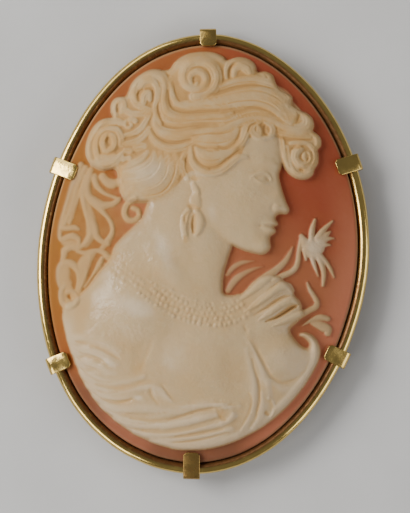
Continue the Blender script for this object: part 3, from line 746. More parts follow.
def depth_inside(slab, outline):
    """Distance inside the closed outline, 0 outside it."""
    c = curve(outline, True, 4)
    window, X, Y = slab.window(c[:, 0], c[:, 1], 0.1)
    inside = np.zeros(X.shape, bool)
    nearest = np.full(X.shape, 1e9)
    for a, b in zip(c, np.roll(c, -1, axis=0)):
        if a[1] != b[1]:
            inside ^= ((a[1] > Y) != (b[1] > Y)) & (X < a[0] + (Y - a[1]) * (b[0] - a[0]) / (b[1] - a[1]))
        ab = b - a
        t = np.clip(((X - a[0]) * ab[0] + (Y - a[1]) * ab[1]) / (ab @ ab), 0, 1)
        nearest = np.minimum(nearest, (X - a[0] - t * ab[0]) ** 2 + (Y - a[1] - t * ab[1]) ** 2)
    depth = np.zeros(slab.shape)
    depth[window] = np.where(inside, np.sqrt(nearest), 0)
    return depth


def form(slab, part):
    """A raised form with a steep edge and a rounded top."""
    depth = depth_inside(slab, part.outline)
    v = 1 - np.minimum(1, depth / part.reach)
    e = np.clip(depth / STEEP, 0, 1)
    return part.edge * e * (2 - e) + part.rise * np.sqrt(1 - v * v)


def widened(points, share):
    """A stroke's points with their half widths times the share."""
    return [(x, y, share * r) for x, y, r in points]


def along(slab, points, steps=5):
    """Round a stroke: its window, the distance from its middle and the side, both in half widths, and
    the half width as a share of the widest."""
    c = curve(points, False, steps)
    widest = c[:, 2].max()
    window, X, Y = slab.window(c[:, 0], c[:, 1], widest * 1.05)
    near = np.full(X.shape, 1e9)
    side = np.zeros(X.shape)
    half = np.ones(X.shape)
    for a, b in zip(c[:-1], c[1:]):
        ab = b[:2] - a[:2]
        length = ab @ ab
        if length < 1e-9:
            continue
        dx, dy = X - a[0], Y - a[1]
        t = np.clip((dx * ab[0] + dy * ab[1]) / length, 0, 1)
        width = np.maximum(a[2] * (1 - t) + b[2] * t, THINNEST)
        off = np.hypot(dx - t * ab[0], dy - t * ab[1])
        closer = off < near
        near = np.where(closer, off, near)
        side = np.where(closer, np.sign(ab[0] * dy - ab[1] * dx) * off / width, side)
        half = np.where(closer, width, half)
    return window, near / half, np.clip(side, -1, 1), half / widest


def ridge(slab, detail, points, height, sharp):
    """A rounded ridge, laid over what is there."""
    window, k, _, share = along(slab, points)
    inside = np.clip(1 - k * k, 0, None)
    detail[window] = np.maximum(detail[window], height * share ** 0.6 * inside ** sharp)


def lock(slab, locks, strands, points, height, lean=0.0, steps=5):
    """A lock of hair: a rounded ridge, and fine strands along it where it lies on top."""
    window, k, side, share = along(slab, widened(points, LOCK_WIDTH), steps)
    inside = np.clip(1 - k * k, 0, None)
    g = height * share ** 0.6 * inside ** LOCK_SHARP * (1 + lean * side)
    width = max(p[2] for p in points)
    count = max(2, round(2 * width / STRAND))
    at = (side + 1) / 2 * count
    # Each groove has its own depth, from 0.3 to 1
    depth = 0.65 + 0.35 * np.sin(2.4 * np.floor(at + 0.5) + 9 * width)
    groove = GROOVE * depth * (0.5 + 0.5 * np.cos(2 * math.pi * at)) * np.clip(3 * inside, 0, 1) * share
    strands[window] = np.where(g > locks[window], groove, strands[window])
    locks[window] = np.maximum(locks[window], g)


def fold(slab, field, points, height):
    """A soft ridge, or a soft groove where height is negative."""
    window, k, _, share = along(slab, points)
    field[window] += height * share * np.clip(1 - k * k, 0, None) ** 2


def spiral(curl):
    """The points of a curl's stroke, winding in to its eye and getting thinner."""
    n = int(14 * curl.turns) + 4
    # The more turns, the narrower the stroke
    band = 0.85 * curl.radius / (2.1 * curl.turns + 1.5)
    out = []
    for i in range(n + 1):
        u = i / n
        r = curl.radius - 1.5 * band - 2 * curl.turns * band * (1.5 * u - 0.45 * u * u)
        a = math.radians(curl.start + 360 * curl.turns * u)
        out.append((curl.x + curl.eye_x * u + r * math.cos(a), curl.y + curl.eye_y * u + r * math.sin(a),
                    band * (1.5 - 0.9 * u)))
    return out


def swell(slab, field, table, mask, place=None, unit=1.0, turn=0.0):
    """Adds a table's soft ovals to the field, as far as the mask lets them."""
    for s in table:
        x, y = place(s.x, s.y) if place else (s.x, s.y)
        w, h = s.half_w * unit, s.half_h * unit
        window, X, Y = slab.window(x, y, max(w, h))
        a = math.radians(s.turn + turn)
        u = (X - x) * math.cos(a) + (Y - y) * math.sin(a)
        v = (Y - y) * math.cos(a) - (X - x) * math.sin(a)
        inside = np.clip(1 - (u / w) ** 2 - (v / h) ** 2, 0, None)
        field[window] += s.rise * inside * inside * mask[window]


def beads(slab, detail):
    """The necklace: strands of round beads, lower towards the shoulder."""
    line = curve(NECKLACE, False, 24)
    step = np.diff(line, axis=0)
    step = np.vstack([step, step[-1]])
    step /= np.linalg.norm(step, axis=1)[:, None]
    normal = np.column_stack([-step[:, 1], step[:, 0]])
    rng = np.random.default_rng(7)
    for row, strand in enumerate(STRANDS):
        at = line + normal * strand.offset
        run = np.concatenate([[0], np.cumsum(np.linalg.norm(np.diff(at, axis=0), axis=1))])
        for d in np.arange(strand.bead * (1 + 0.9 * (row % 2)), run[-1], 2.06 * strand.bead):
            # Each bead lies a little off the line, and has its own size and height
            x, y = (np.interp(d, run, at[:, k]) + rng.normal(0, 0.05) for k in (0, 1))
            r = strand.bead * rng.uniform(0.82, 1.06)
            tall = 1.12 * strand.height * rng.uniform(0.35, 1.0) * min(1, 0.2 + d / 12)
            window, X, Y = slab.window(x, y, r)
            inside = np.clip(1 - ((X - x) ** 2 + (Y - y) ** 2) / r ** 2, 0, None)
            detail[window] = np.maximum(detail[window], tall * inside ** 0.6)


def carve_masses(slab, hair):
    """Heights of the figure's masses with their folds, and a mask of where the figure is."""
    height = np.zeros(slab.shape)
    for part in FORMS:
        height = np.maximum(height, form(slab, part))
    figure = np.clip((height - FIGURE) / FIGURE, 0, 1)
    face = np.clip(depth_inside(slab, FACE) / FACE_EDGE, 0, 1)
    swell(slab, height, SWELLINGS, blur(figure, MASK_BLUR))
    swell(slab, height, FACE_FORMS, face * (1 - hair), head, THIRD, -BOW)
    soft = blur(height, MASS_BLUR)
    height = np.where(height > 0, soft, np.minimum(soft, GROUND_RISE))
    for s in FOLDS:
        fold(slab, height, widened(s.points, FOLD_WIDTH), FOLD_HEIGHT * s.height)
    return height, figure


def carve_hair(slab, height):
    """The heights with the hair's locks and curls, and the grooves between their strands."""
    locks = np.zeros(slab.shape)
    strands = np.zeros(slab.shape)
    for s in HAIR_LOCKS:
        lock(slab, locks, strands, s.points, LOCK_HEIGHT * s.height, s.lean)
    for s in CURLS:
        lock(slab, locks, strands, spiral(s), CURL_HEIGHT * s.height, 0.0, 2)
    return height + blur(locks, LOCK_BLUR) - GROOVE_SHARE * blur(strands, GROOVE_BLUR)


def carve_details(slab):
    """Heights of the veil's folds, the hand, the flower, the earring and the necklace."""
    detail = np.zeros(slab.shape)
    for cut in RIDGES:
        for s in cut.strokes:
            ridge(slab, detail, widened(s.points, cut.width), cut.height * s.height, cut.sharp)
    beads(slab, detail)
    return detail


def tint_layer(slab, figure, detail):
    """How honey-coloured the upper layer is, or how white where below 0."""
    veil = np.clip(depth_inside(slab, VEIL) / VEIL_EDGE, 0, 1) * (1 - figure)
    # The veil's raised folds are whiter
    tint = veil * np.clip(1.3 - 1.6 * detail, 0.7, 1)
    swell(slab, tint, BLOTCHES, figure)
    swell(slab, tint, PALE_PATCHES, np.ones(slab.shape))
    fold(slab, tint, [(x, y, NECKLACE_TINT_WIDTH) for x, y in NECKLACE], NECKLACE_TINT)
    return tint


def carve():
    """The whole carving: its heights, its honey tint, its cavities and where the hair is."""
    slab = Slab()
    hair = np.clip(depth_inside(slab, HAIR) / HAIR_EDGE, 0, 1)
    swell(slab, hair, PALE_HAIR, hair)
    height, figure = carve_masses(slab, hair)
    height = carve_hair(slab, height)
    detail = carve_details(slab)
    height = height + detail
    for s in FACE_STROKES:
        points = [(*head(x, y), FACE_STROKE_WIDTH * r) for x, y, r in s.points]
        fold(slab, height, points, FACE_STROKE_HEIGHT * s.height)
    tint = tint_layer(slab, figure, detail)
    for s in CUTS:
        fold(slab, height, widened(s.points, CUT_WIDTH), -CUT_DEPTH * s.depth)
        fold(slab, tint, widened(s.points, CUT_TINT_WIDTH), CUT_TINT * s.tint)
    for s in CREASES:
        fold(slab, height, widened(s.points, CREASE_WIDTH), -CREASE_DEPTH * s.depth)
        fold(slab, tint, widened(s.points, CREASE_TINT_WIDTH), CREASE_TINT * s.depth)
    height = np.maximum(height, 0)
    cavity = sum(share * (blur(height, radius) - height) for share, radius in CAVITIES)
    slab.height = blur(height, LAST_BLUR)
    slab.tint = np.clip(tint, -1, 1)
    slab.cavity = np.clip(cavity, -DEEPEST, DEEPEST)
    slab.hair = hair
    return slab


# The oval

# Where the hand-bent frame bulges or runs flat: millimetres outwards at an angle in degrees, and how
# much dark film lies on the wire's inner side there
BENDS = rows(
    "angle out film",
    (0, -0.05, 0.8), (15, 0.0, 0.1), (24, 0.02, 0.4), (30, 0.03, 1.6), (45, 0.07, 1.6), (60, 0.12, 1.6),
    (75, 0.30, 1.6), (90, 0.42, 1.4), (105, 0.20, 1.1), (120, 0.03, 1.1), (135, -0.18, 1.1),
    (150, -0.26, 1.1), (165, -0.16, 1.1), (180, 0.0, 1.1), (195, 0.05, 1.1), (210, 0.10, 1.1),
    (225, 0.0, 1.1), (240, -0.26, 1.1), (253, -0.40, 1.1), (265, -0.30, 1.3), (277, -0.08, 1.5),
    (290, 0.07, 1.55), (302, 0.08, 1.55), (315, -0.05, 1.6), (330, -0.20, 1.6), (345, -0.20, 1.45))


def shell_settings():
    return bpy.context.scene.cameo_shell


def full_turn(n):
    """n even angles round a full turn."""
    return np.arange(n) * 2 * math.pi / n


def bent(column, t):
    """A column of the bends at the angles t."""
    return np.interp(np.degrees(t), [b.angle for b in BENDS], [getattr(b, column) for b in BENDS],
                     period=360)


def oval_point(t, inset=0.0):
    """A point of the oval at the angle t, set in from the wire's outside, in millimetres."""
    s = shell_settings()
    share = 1 + s.swell * np.cos(3 * t)
    out = bent("out", t)
    x = (s.frame_width / 2 - inset) * np.cos(t) * share - s.swell * s.frame_width / 2
    y = (s.frame_height / 2 - inset) * np.sin(t) * share
    return np.stack([x + out * np.cos(t), y + out * np.sin(t)], -1)


def oval_normal(t, near=0.008):
    """The direction outwards at the angle t, from points near it on either side."""
    d = oval_point(t + near) - oval_point(t - near)
    d = d / np.linalg.norm(d, axis=-1, keepdims=True)
    return np.stack([d[..., 1], -d[..., 0]], -1)


def oval_angle(direction):
    """The oval's own angle for a direction from the middle, in degrees."""
    s = shell_settings()
    a = math.radians(direction)
    return math.atan2(s.frame_width * math.sin(a), s.frame_height * math.cos(a))


# Meshes

def new_piece(name, points, faces, nodes, material):
    """A closed piece from points in millimetres, riding on the brooch."""
    mesh = bpy.data.meshes.new(name)
    mesh.from_pydata([tuple(p) for p in np.asarray(points, float) * MM], [], faces)
    mesh.update()
    mesh.polygons.foreach_set("use_smooth", [True] * len(mesh.polygons))
    mesh.materials.append(material)
    obj = bpy.data.objects.new(name, mesh)
    bpy.context.scene.collection.objects.link(obj)
    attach(obj, "root")
    if nodes:
        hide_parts(*nodes)
    return obj


def keep_field(piece, name, values):
    """Keeps a value for each point of a piece, for its finish."""
    layer = piece.data.attributes.new(name, "FLOAT", "POINT")
    layer.data.foreach_set("value", np.asarray(values, np.float32))


def face_outwards(obj):
    """Turns all faces of a closed piece outwards."""
    bm = bmesh.new()
    bm.from_mesh(obj.data)
    bmesh.ops.recalc_face_normals(bm, faces=bm.faces)
    bm.to_mesh(obj.data)
    bm.free()


def apply_modifiers(obj):
    bpy.context.view_layer.update()
    depsgraph = bpy.context.evaluated_depsgraph_get()
    mesh = bpy.data.meshes.new_from_object(obj.evaluated_get(depsgraph))
    obj.modifiers.clear()
    old = obj.data
    obj.data = mesh
    bpy.data.meshes.remove(old)


def round_edges(obj, width, segments=2, angle=35, smooth=50):
    """Rounds the edges sharper than the angle by the width, in degrees and millimetres, and shades
    smoothly over what bends less than smooth."""
    bevel = obj.modifiers.new("rounded edges", "BEVEL")
    bevel.width = width * MM
    bevel.segments = segments
    bevel.limit_method = "ANGLE"
    bevel.angle_limit = math.radians(angle)
    apply_modifiers(obj)
    obj.data.shade_smooth()
    obj.data.set_sharp_from_angle(angle=math.radians(smooth))


def ring_faces(n, m, closed):
    """Faces between n rings of m points, and from the last ring to the first where closed."""
    faces = []
    for i in range(n if closed else n - 1):
        j = (i + 1) % n
        for k in range(m):
            q = (k + 1) % m
            faces.append((i * m + k, i * m + q, j * m + q, j * m + k))
    return faces


def tube(path, across, radii, around):
    """Points and faces of a closed ring of tube; across holds unit vectors in the plane."""
    a = full_turn(around)
    points = np.empty((len(path), around, 3))
    points[:, :, :2] = path[:, None, :2] + across[:, None, :] * (radii[:, None] * np.cos(a))[..., None]
    points[:, :, 2] = path[:, 2, None] + radii[:, None] * np.sin(a)
    return points.reshape(-1, 3), ring_faces(len(path), around, True)


def loft(sections, closed=False):
    """Points and faces through rings of equal length; open lofts get end caps."""
    n, m = len(sections), len(sections[0])
    faces = ring_faces(n, m, closed)
    if not closed:
        faces.append(tuple(range(m - 1, -1, -1)))
        faces.append(tuple((n - 1) * m + k for k in range(m)))
    return np.array(sections, float).reshape(-1, 3), faces


# The carved shell

# The shell's back from its edge inwards, ring by ring: share of the rim's size, height above the
# underside or its hollow, and the step between the points that it takes from the rim
BACK = rows(
    "share up skip",
    (1.0, 0.25, 1), (0.988, 0, 1), (0.9, 0, 4), (0.8, 0, 4), (0.65, 0, 4), (0.45, 0, 4), (0.25, 0, 4))
HOLLOW_SHARE = 0.9
# The plain strip inside the rim, and how far in from it the relief is at its full height
PLAIN, FULL = 0.35, 1
# Carving finer than the first radius counts as fine, spread by the second to the cells beside it
FINE_RADIUS, FINE_SPREAD = 0.22, 0.1


def carving_place(u, v):
    """Where the places u, v of a square lie on the shell, with even cells: x and y from the middle of
    the carving, the same turned into its tables, and the share of the way out."""
    s = shell_settings()
    a, b = u * np.sqrt(1 - v * v / 2), v * np.sqrt(1 - u * u / 2)
    r = np.hypot(a, b)
    edge = oval_point(np.arctan2(b, a), s.inset)
    x = (edge[..., 0] + s.swell * s.frame_width / 2) * r
    y = edge[..., 1] * r
    c, d = math.cos(s.turn), math.sin(s.turn)
    return x, y, x * c + y * d, y * c - x * d, r


def shell_surface(u, v, slab):
    """Points of the carved face for places u, v of the square, with what the shell's finish needs."""
    s = shell_settings()
    x, y, cx, cy, r = carving_place(u, v)
    inwards = (1 - r) * s.frame_width / 2
    height = slab.sample(slab.height, cx, cy) * np.clip(inwards - PLAIN, 0, FULL) * s.relief
    worn = s.bevel * np.clip(1 - inwards / s.bevel, 0, 1) ** 1.5
    z = s.rim + s.dome * (1 - np.clip(r * r, 0, 1)) + height - worn
    fields = {
        "layer": height,
        "cavity": slab.sample(slab.cavity, cx, cy),
        "honey": slab.sample(slab.tint, cx, cy),
        "hair": slab.sample(slab.hair, cx, cy),
        "inwards": inwards,
    }
    return np.stack([x - s.swell * s.frame_width / 2, y, z], -1), fields


def fine_cells(slab):
    """The cells that hold the finest carving, as a grid of yes and no."""
    s = shell_settings()
    nx, ny = s.across, s.along
    u, v = np.meshgrid(np.linspace(-1, 1, 2 * nx + 1), np.linspace(-1, 1, 2 * ny + 1))
    fine = blur(np.abs(slab.height - blur(slab.height, FINE_RADIUS)), FINE_SPREAD)
    _, _, cx, cy, _ = carving_place(u, v)
    value = slab.sample(fine, cx, cy)
    cells = np.zeros((ny, nx))
    for j, i in np.ndindex(3, 3):
        cells = np.maximum(cells, value[j:j + 2 * ny - 1:2, i:i + 2 * nx - 1:2])
    cells[[0, -1], :] = 0
    cells[:, [0, -1]] = 0
    return cells > np.quantile(cells, 1 - s.fine_share)


def carved_faces(number, split):
    """The carved side's faces: four in a split cell, else one that takes in its neighbours' points."""
    around = [(0, 0), (0, 1), (0, 2), (1, 2), (2, 2), (2, 1), (2, 0), (1, 0)]
    faces = []
    for j, i in np.ndindex(split.shape):
        cell = number[2 * j:2 * j + 3, 2 * i:2 * i + 3]
        if split[j, i]:
            for b, a in np.ndindex(2, 2):
                faces.append((cell[b, a], cell[b, a + 1], cell[b + 1, a + 1], cell[b + 1, a]))
        else:
            faces.append(tuple(cell[place] for place in around if cell[place] >= 0))
    return faces


def border(number):
    """The numbers of the points round the carved side's edge."""
    ny, nx = number.shape[0] // 2, number.shape[1] // 2
    edge = [number[0, 2 * i] for i in range(nx)]
    edge += [number[2 * j, -1] for j in range(ny)]
    edge += [number[-1, 2 * i] for i in range(nx, 0, -1)]
    edge += [number[2 * j, 0] for j in range(ny, 0, -1)]
    return edge


def close_back(points, edge, faces):
    """Adds the faces of the shell's back, from its edge to the middle, and returns their points."""
    s = shell_settings()
    shift = s.swell * s.frame_width / 2
    rim = points[edge]
    last = edge
    parts = []
    total = len(points)
    for row in BACK:
        z = s.low + row.up + s.hollow * max(0, 1 - (row.share / HOLLOW_SHARE) ** 2)
        ring = rim[::row.skip] * [row.share, row.share, 0] + [shift * (row.share - 1), 0, z]
        parts.append(ring)
        now = list(range(total, total + len(ring)))
        total += len(ring)
        step = len(last) // len(now)
        for k in range(len(now)):
            outer = [last[(k * step + m) % len(last)] for m in range(step, -1, -1)]
            faces.append((*outer, now[k], now[(k + 1) % len(now)]))
        last = now
    for k in range(len(last)):
        faces.append((last[k], total, last[(k + 1) % len(last)]))
    return np.vstack([*parts, [[-shift, 0, s.low + s.hollow]]])


def shell_mesh():
    """The carved shell as one closed mesh, with its fields at every point."""
    s = shell_settings()
    slab = carve()
    split = fine_cells(slab)
    used = np.zeros((2 * s.along + 1, 2 * s.across + 1), bool)
    used[::2, ::2] = True
    split_j, split_i = np.nonzero(split)
    for j, i in np.ndindex(3, 3):
        used[2 * split_j + j, 2 * split_i + i] = True
    number = np.full(used.shape, -1)
    number[used] = np.arange(used.sum())
    grid_j, grid_i = np.nonzero(used)
    points, fields = shell_surface(grid_i / s.across - 1, grid_j / s.along - 1, slab)
    faces = carved_faces(number, split)
    back = close_back(points, border(number), faces)
    values = {name: np.concatenate([field, np.zeros(len(back))]) for name, field in fields.items()}
    return np.vstack([points, back]), faces, values


def build_shell():
    """The carved shell, with what its finish needs at each point."""
    points, faces, fields = shell_mesh()
    shell = new_piece("carved_shell", points, faces, ["cameo_shell"], shell_material())
    face_outwards(shell)
    for name, values in fields.items():
        keep_field(shell, name, values)


# The gold setting

# The wire: its points along and around, its gap inside the oval, and how unevenly it runs out and in,
# up and down, and in its radius
WIRE_POINTS, WIRE_AROUND = 560, 24
WIRE_GAP = 0.02
WAVER_OUT, WAVER_UP, WAVER_RADIUS = 0.02, 0.03, 0.012

# The claws: where they stand, in degrees, how far they reach in from the wire's outside, and how much
# dark film lies on them
CLAWS = rows(
    "direction reach film",
    (36.0, 2.50, 0.15),
    (93.4, 1.65, 0.35),
    (153.6, 2.60, 0.0),
    (221.6, 2.15, 0.0),
    (272.3, 2.60, 0.75),
    (328.5, 2.30, 0.2))
# Height of a claw's foot, its gap over the shell, how much its middle stands up, and how much it leans
CLAW_FOOT = 1.46
CLAW_GAP = 0.08
CLAW_CROWN = 0.03
CLAW_LEAN = 0.02

# The seat ring's outer and inner side, in from the wire's outside, and its underside and top
SEAT_SIDES = (1.05, 2.9)
SEAT_HEIGHTS = (1.55, 2.12)

# The pin's line, where its hinge is, the outline of an ear beside it, the ears' distance from the line
# and half their thickness, and the rivet's radius
PIN_Y, PIN_Z = 8, 0.9
HINGE_X = -15.2
EAR = ((-2.5, 0.6), (-2.1, 0), (0.5, 0), (0.9, 0.5), (0.9, 1.3), (0.5, 1.75), (-2.5, 1.75))
EAR_OFF, EAR_HALF = 1.02, 0.4
RIVET = 0.3
# The catch's ends along the pin, its inner and outer radius, and how far it curls to either side
CATCH_ENDS = (16.4, 17.7)
CATCH_RADII = (0.58, 0.9)
CATCH_CURL = 146


def unevenness(n, strength, seed, waves=9):
    """A smooth closed random line of n values, up to strength to either side."""
    rng = np.random.default_rng(seed)
    t = full_turn(n)
    line = np.zeros(n)
    for k in range(2, waves):
        line += rng.normal() * np.cos(k * t + rng.uniform(0, 6.28)) / k
    return strength * line / np.abs(line).max()


def build_wire(gold):
    """The round wire, with dark film on its inner side."""
    s = bpy.context.scene.cameo_setting
    n, around = WIRE_POINTS, WIRE_AROUND
    t = full_turn(n)
    normal = oval_normal(t)
    inwards = s.wire / 2 + WIRE_GAP + unevenness(n, WAVER_OUT, 3)[:, None]
    path = np.empty((n, 3))
    path[:, :2] = oval_point(t) - normal * inwards
    path[:, 2] = s.wire_height + unevenness(n, WAVER_UP, 4)
    radii = np.full(n, s.wire / 2) + unevenness(n, WAVER_RADIUS, 5, 30)
    points, faces = tube(path, normal, radii, around)
    wire = new_piece("frame_wire", points, faces, ["setting"], gold)
    inner_side = np.clip(0.1 - np.cos(np.tile(full_turn(around), n)) * 3.2, 0, 1)
    keep_field(wire, "film", inner_side * np.repeat(bent("film", t), around))


def gold_piece(name, sections, gold, closed=False):
    """A piece of the setting through rings of points, with its faces outwards."""
    points, faces = loft(sections, closed)
    piece = new_piece(name, points, faces, (), gold)
    face_outwards(piece)
    return piece


def build_seat(gold):
    """The flat ring under the shell's rim."""
    outer, inner = SEAT_SIDES
    low, top = SEAT_HEIGHTS
    corners = ((outer, low), (outer, top), (inner, top), (inner, low))
    t = full_turn(240)
    sections = [[(*(p - n * inwards), z) for inwards, z in corners]
                for p, n in zip(oval_point(t), oval_normal(t))]
    seat = gold_piece("seat_ring", sections, gold, True)
    round_edges(seat, 0.08, segments=1)
    keep_field(seat, "film", np.ones(len(seat.data.vertices)))


def claw_profile(reach, slope):
    """A claw's section from its foot to its tip: outer run and height, inner run and height, and the
    share of the half width. A run is the distance out from the wire's outside."""
    s = bpy.context.scene.cameo_setting
    shell = shell_settings()

    def under(run):
        return shell.rim + CLAW_GAP - slope * (run + shell.inset)

    def over(run):
        return under(run) + s.claw_thickness * math.hypot(1, slope)

    out, clip, tip = s.claw_out, s.claw_clip, -reach
    back = out - s.claw_thickness
    # The foot, the straight side and the rounded fold over the wire
    profile = [
        (out, CLAW_FOOT, back, CLAW_FOOT, 0.96),
        (out, 2.2, back, 2.2, 1.0),
        (out, over(out) - 0.5, back, under(back) - 0.25, 1.0),
        (out - 0.03, over(out) - 0.28, back - 0.01, under(back) - 0.12, 1.0),
        (out - 0.12, over(out) - 0.10, back - 0.03, under(back) - 0.05, 1.0),
        (out - 0.28, over(out - 0.28) - 0.015, back - 0.08, under(back - 0.08), 1.0),
        (out - 0.55, over(out - 0.55), back - 0.25, under(back - 0.25), 1.0),
    ]
    # Straight over the wire and down onto the shell, then the clipped tip
    for share in (0.25, 0.5, 0.75, 1.0):
        run = (out - 0.6) * (1 - share) + (clip + tip) * share
        profile.append((run, over(run), run, under(run), 1.0))
    run = 0.35 * clip + tip
    profile.append((run, over(run) - 0.01, run, under(run), 1 - 1.3 * clip / s.claw_width))
    profile.append((tip, over(tip) - 0.04, tip, under(tip), 1 - 2 * clip / s.claw_width))
    return profile


def build_claw(index, claw, gold):
    """A folded claw strip: up outside the wire, over it, and onto the shell's rim."""
    width = bpy.context.scene.cameo_setting.claw_width
    t = np.array(oval_angle(claw.direction))
    p, n = oval_point(t), oval_normal(t)
    side = np.array([-n[1], n[0]])
    slope = 2 * shell_settings().dome / np.linalg.norm(p)
    lean = np.random.default_rng(20 + index).normal(0, CLAW_LEAN)
    sections = []
    for outer_run, outer_z, inner_run, inner_z, share in claw_profile(claw.reach, slope):
        half = width / 2 * share
        corners = ((outer_run, outer_z, -1), (outer_run, outer_z + CLAW_CROWN, 0),
                   (outer_run, outer_z, 1), (inner_run, inner_z, 1), (inner_run, inner_z, -1))
        sections.append([(*(p + n * run + side * (half * k + lean * run)), z) for run, z, k in corners])
    piece = gold_piece("claw_%d" % (index + 1), sections, gold)
    keep_field(piece, "film", np.full(len(piece.data.vertices), claw.film))
    round_edges(piece, 0.09, segments=3)


def build_fittings(gold):
    """Hinge ears with their rivet, and the open catch."""
    for k, y in ((1, PIN_Y - EAR_OFF), (2, PIN_Y + EAR_OFF)):
        sections = [[(HINGE_X + x, y + d, z) for x, z in EAR] for d in (-EAR_HALF, EAR_HALF)]
        round_edges(gold_piece("hinge_ear_%d" % k, sections, gold), 0.06)
    sections = [[(HINGE_X + RIVET * math.cos(a), y, PIN_Z + RIVET * math.sin(a)) for a in full_turn(24)]
                for y in (PIN_Y - EAR_OFF, PIN_Y + EAR_OFF)]
    round_edges(gold_piece("hinge_rivet", sections, gold), 0.04)
    near, far = CATCH_ENDS
    inner, outer = CATCH_RADII
    corners = ((near, inner), (near, outer), (far, outer), (far, inner))
    sections = [[(x, PIN_Y + r * math.cos(a), PIN_Z + r * math.sin(a)) for x, r in corners]
                for a in np.radians(np.linspace(-CATCH_CURL, CATCH_CURL, 26))]
    round_edges(gold_piece("catch_hook", sections, gold), 0.05, segments=1, angle=50)


# Finishes

class Finish:
    """A material's node tree, with short ways to add and join nodes."""

    def __init__(self, name):
        self.material = bpy.data.materials.new(name)
        self.material.use_nodes = True
        self.tree = self.material.node_tree
        self.tree.nodes.clear()
        output = self.tree.nodes.new("ShaderNodeOutputMaterial")
        self.shader = self.tree.nodes.new("ShaderNodeBsdfPrincipled")
        self.join(self.shader.outputs[0], output.inputs["Surface"])

    def join(self, a, b):
        self.tree.links.new(a, b)

    def node(self, kind, **values):
        node = self.tree.nodes.new(kind)
        for name, value in values.items():
            setattr(node, name, value)
        return node

    def feed(self, socket, value):
        """Joins another node's output to the socket, or sets the socket's own value."""
        if hasattr(value, "is_output"):
            self.join(value, socket)
        else:
            socket.default_value = value

    def give(self, name, value):
        """Gives the shader a value."""
        self.feed(self.shader.inputs[name], value)

    def math(self, operation, a, b, clamp=False):
        node = self.node("ShaderNodeMath", operation=operation, use_clamp=clamp)
        self.feed(node.inputs[0], a)
        self.feed(node.inputs[1], b)
        return node.outputs[0]

    def plus(self, a, b):
        return self.math("ADD", a, b)

    def times(self, first, *others):
        for other in others:
            first = self.math("MULTIPLY", first, other)
        return first

    def clamped(self, value):
        """The value, kept between 0 and 1."""
        return self.math("MULTIPLY", value, 1.0, True)

    def mix(self, share, a, b):
        node = self.node("ShaderNodeMix", data_type="RGBA")
        self.feed(node.inputs["Factor"], share)
        self.feed(node.inputs[6], a)
        self.feed(node.inputs[7], b)
        return node.outputs[2]

    def span(self, value, low, high, out_low=0.0, out_high=1.0, smooth=True):
        """Turns low to high into out_low to out_high; low may be the larger one."""
        node = self.node("ShaderNodeMapRange", interpolation_type="SMOOTHSTEP" if smooth else "LINEAR")
        self.feed(node.inputs["Value"], value)
        node.inputs["From Min"].default_value = low
        node.inputs["From Max"].default_value = high
        node.inputs["To Min"].default_value = out_low
        node.inputs["To Max"].default_value = out_high
        return node.outputs[0]

    def place(self):
        """The place on the brooch, in metres."""
        return self.node("ShaderNodeTexCoord").outputs["Object"]

    def noise(self, size, detail):
        """Noise whose features are about size millimetres wide."""
        node = self.node("ShaderNodeTexNoise")
        self.join(self.place(), node.inputs["Vector"])
        node.inputs["Scale"].default_value = 1 / (size * MM)
        node.inputs["Detail"].default_value = detail
        return node.outputs[0]

    def drift(self, size, detail, by):
        """Noise from half of by under 0 to half of by over it."""
        return self.times(self.math("SUBTRACT", self.noise(size, detail), 0.5), by)

    def field(self, name):
        return self.node("ShaderNodeAttribute", attribute_name=name).outputs["Fac"]

    def bump(self, height, distance, strength):
        node = self.node("ShaderNodeBump")
        node.inputs["Distance"].default_value = distance * MM
        node.inputs["Strength"].default_value = strength
        self.feed(node.inputs["Height"], height)
        self.give("Normal", node.outputs[0])


def darker(shade, share):
    """A share of the colour."""
    return tuple(share * c for c in shade[:3]) + (1,)


def ground_colour(f, x, y, inwards):
    """The brown-red ground; each part of it runs from none to full."""
    s = shell_settings()
    ground = f.mix(f.span(y, 7, -2), s.ground_deep, s.ground_rose)
    ground = f.mix(f.span(x, 4, -5), ground, s.ground_orange)
    ground = f.mix(f.span(y, -13, -18), ground, s.ground_brown)
    left = f.times(f.span(x, -8, -16.2), f.span(y, 17, 8), f.span(y, -15, -6))
    ground = f.mix(left, ground, s.ground_pale)
    nape = f.times(f.span(x, -12.5, -9, 0.0, 0.45), f.span(x, -3, -6), f.span(y, 12, 8))
    ground = f.mix(nape, ground, s.ground_pink)
    ground = f.mix(f.span(f.noise(2.4, 4), 0.4, 0.8, 0.0, 0.18), ground, s.ground_orange)
    right = f.times(f.span(inwards, 4.5, 0.6), f.span(x, 6, 12), f.span(y, 15, -1))
    return f.mix(right, ground, s.ground_pink)


def carved_colour(f, y, layer, cavity, tint, hair):
    """The cream upper layer: whiter where it is thick, honey in its hollows and over the hair."""
    s = shell_settings()
    cream = f.mix(f.span(layer, 0.12, 0.95), s.cream, s.white)
    cream = f.mix(f.span(f.noise(3.5, 5), 0.42, 0.8, 0.0, 0.3), cream, s.honey)
    tanned = f.times(f.span(cavity, -0.4, 0.8), f.span(hair, 0, 1, 0.22, 0.95, False))
    honey = f.plus(f.times(tint, f.span(tint, -0.05, 0.05, 0.0, 0.6)), tanned)
    honey = f.plus(honey, f.times(hair, f.span(f.noise(1.6, 4), 0.3, 0.7, 0.2, 0.72)))
    cream = f.mix(f.clamped(honey), cream, s.honey)
    # The drapery's crests
    crest = f.times(f.span(cavity, -0.1, -0.9, 0.0, 0.4), f.span(y, -8, -11))
    cream = f.mix(crest, cream, s.pale)
    deep = f.times(f.span(cavity, 0.15, 1.1, 0.0, 0.6), f.span(hair, 0.1, 0.8))
    cream = f.mix(deep, cream, s.ochre)
    return f.mix(f.span(f.plus(tint, f.drift(1.2, 4, 0.5)), -0.05, -0.9), cream, s.pale)


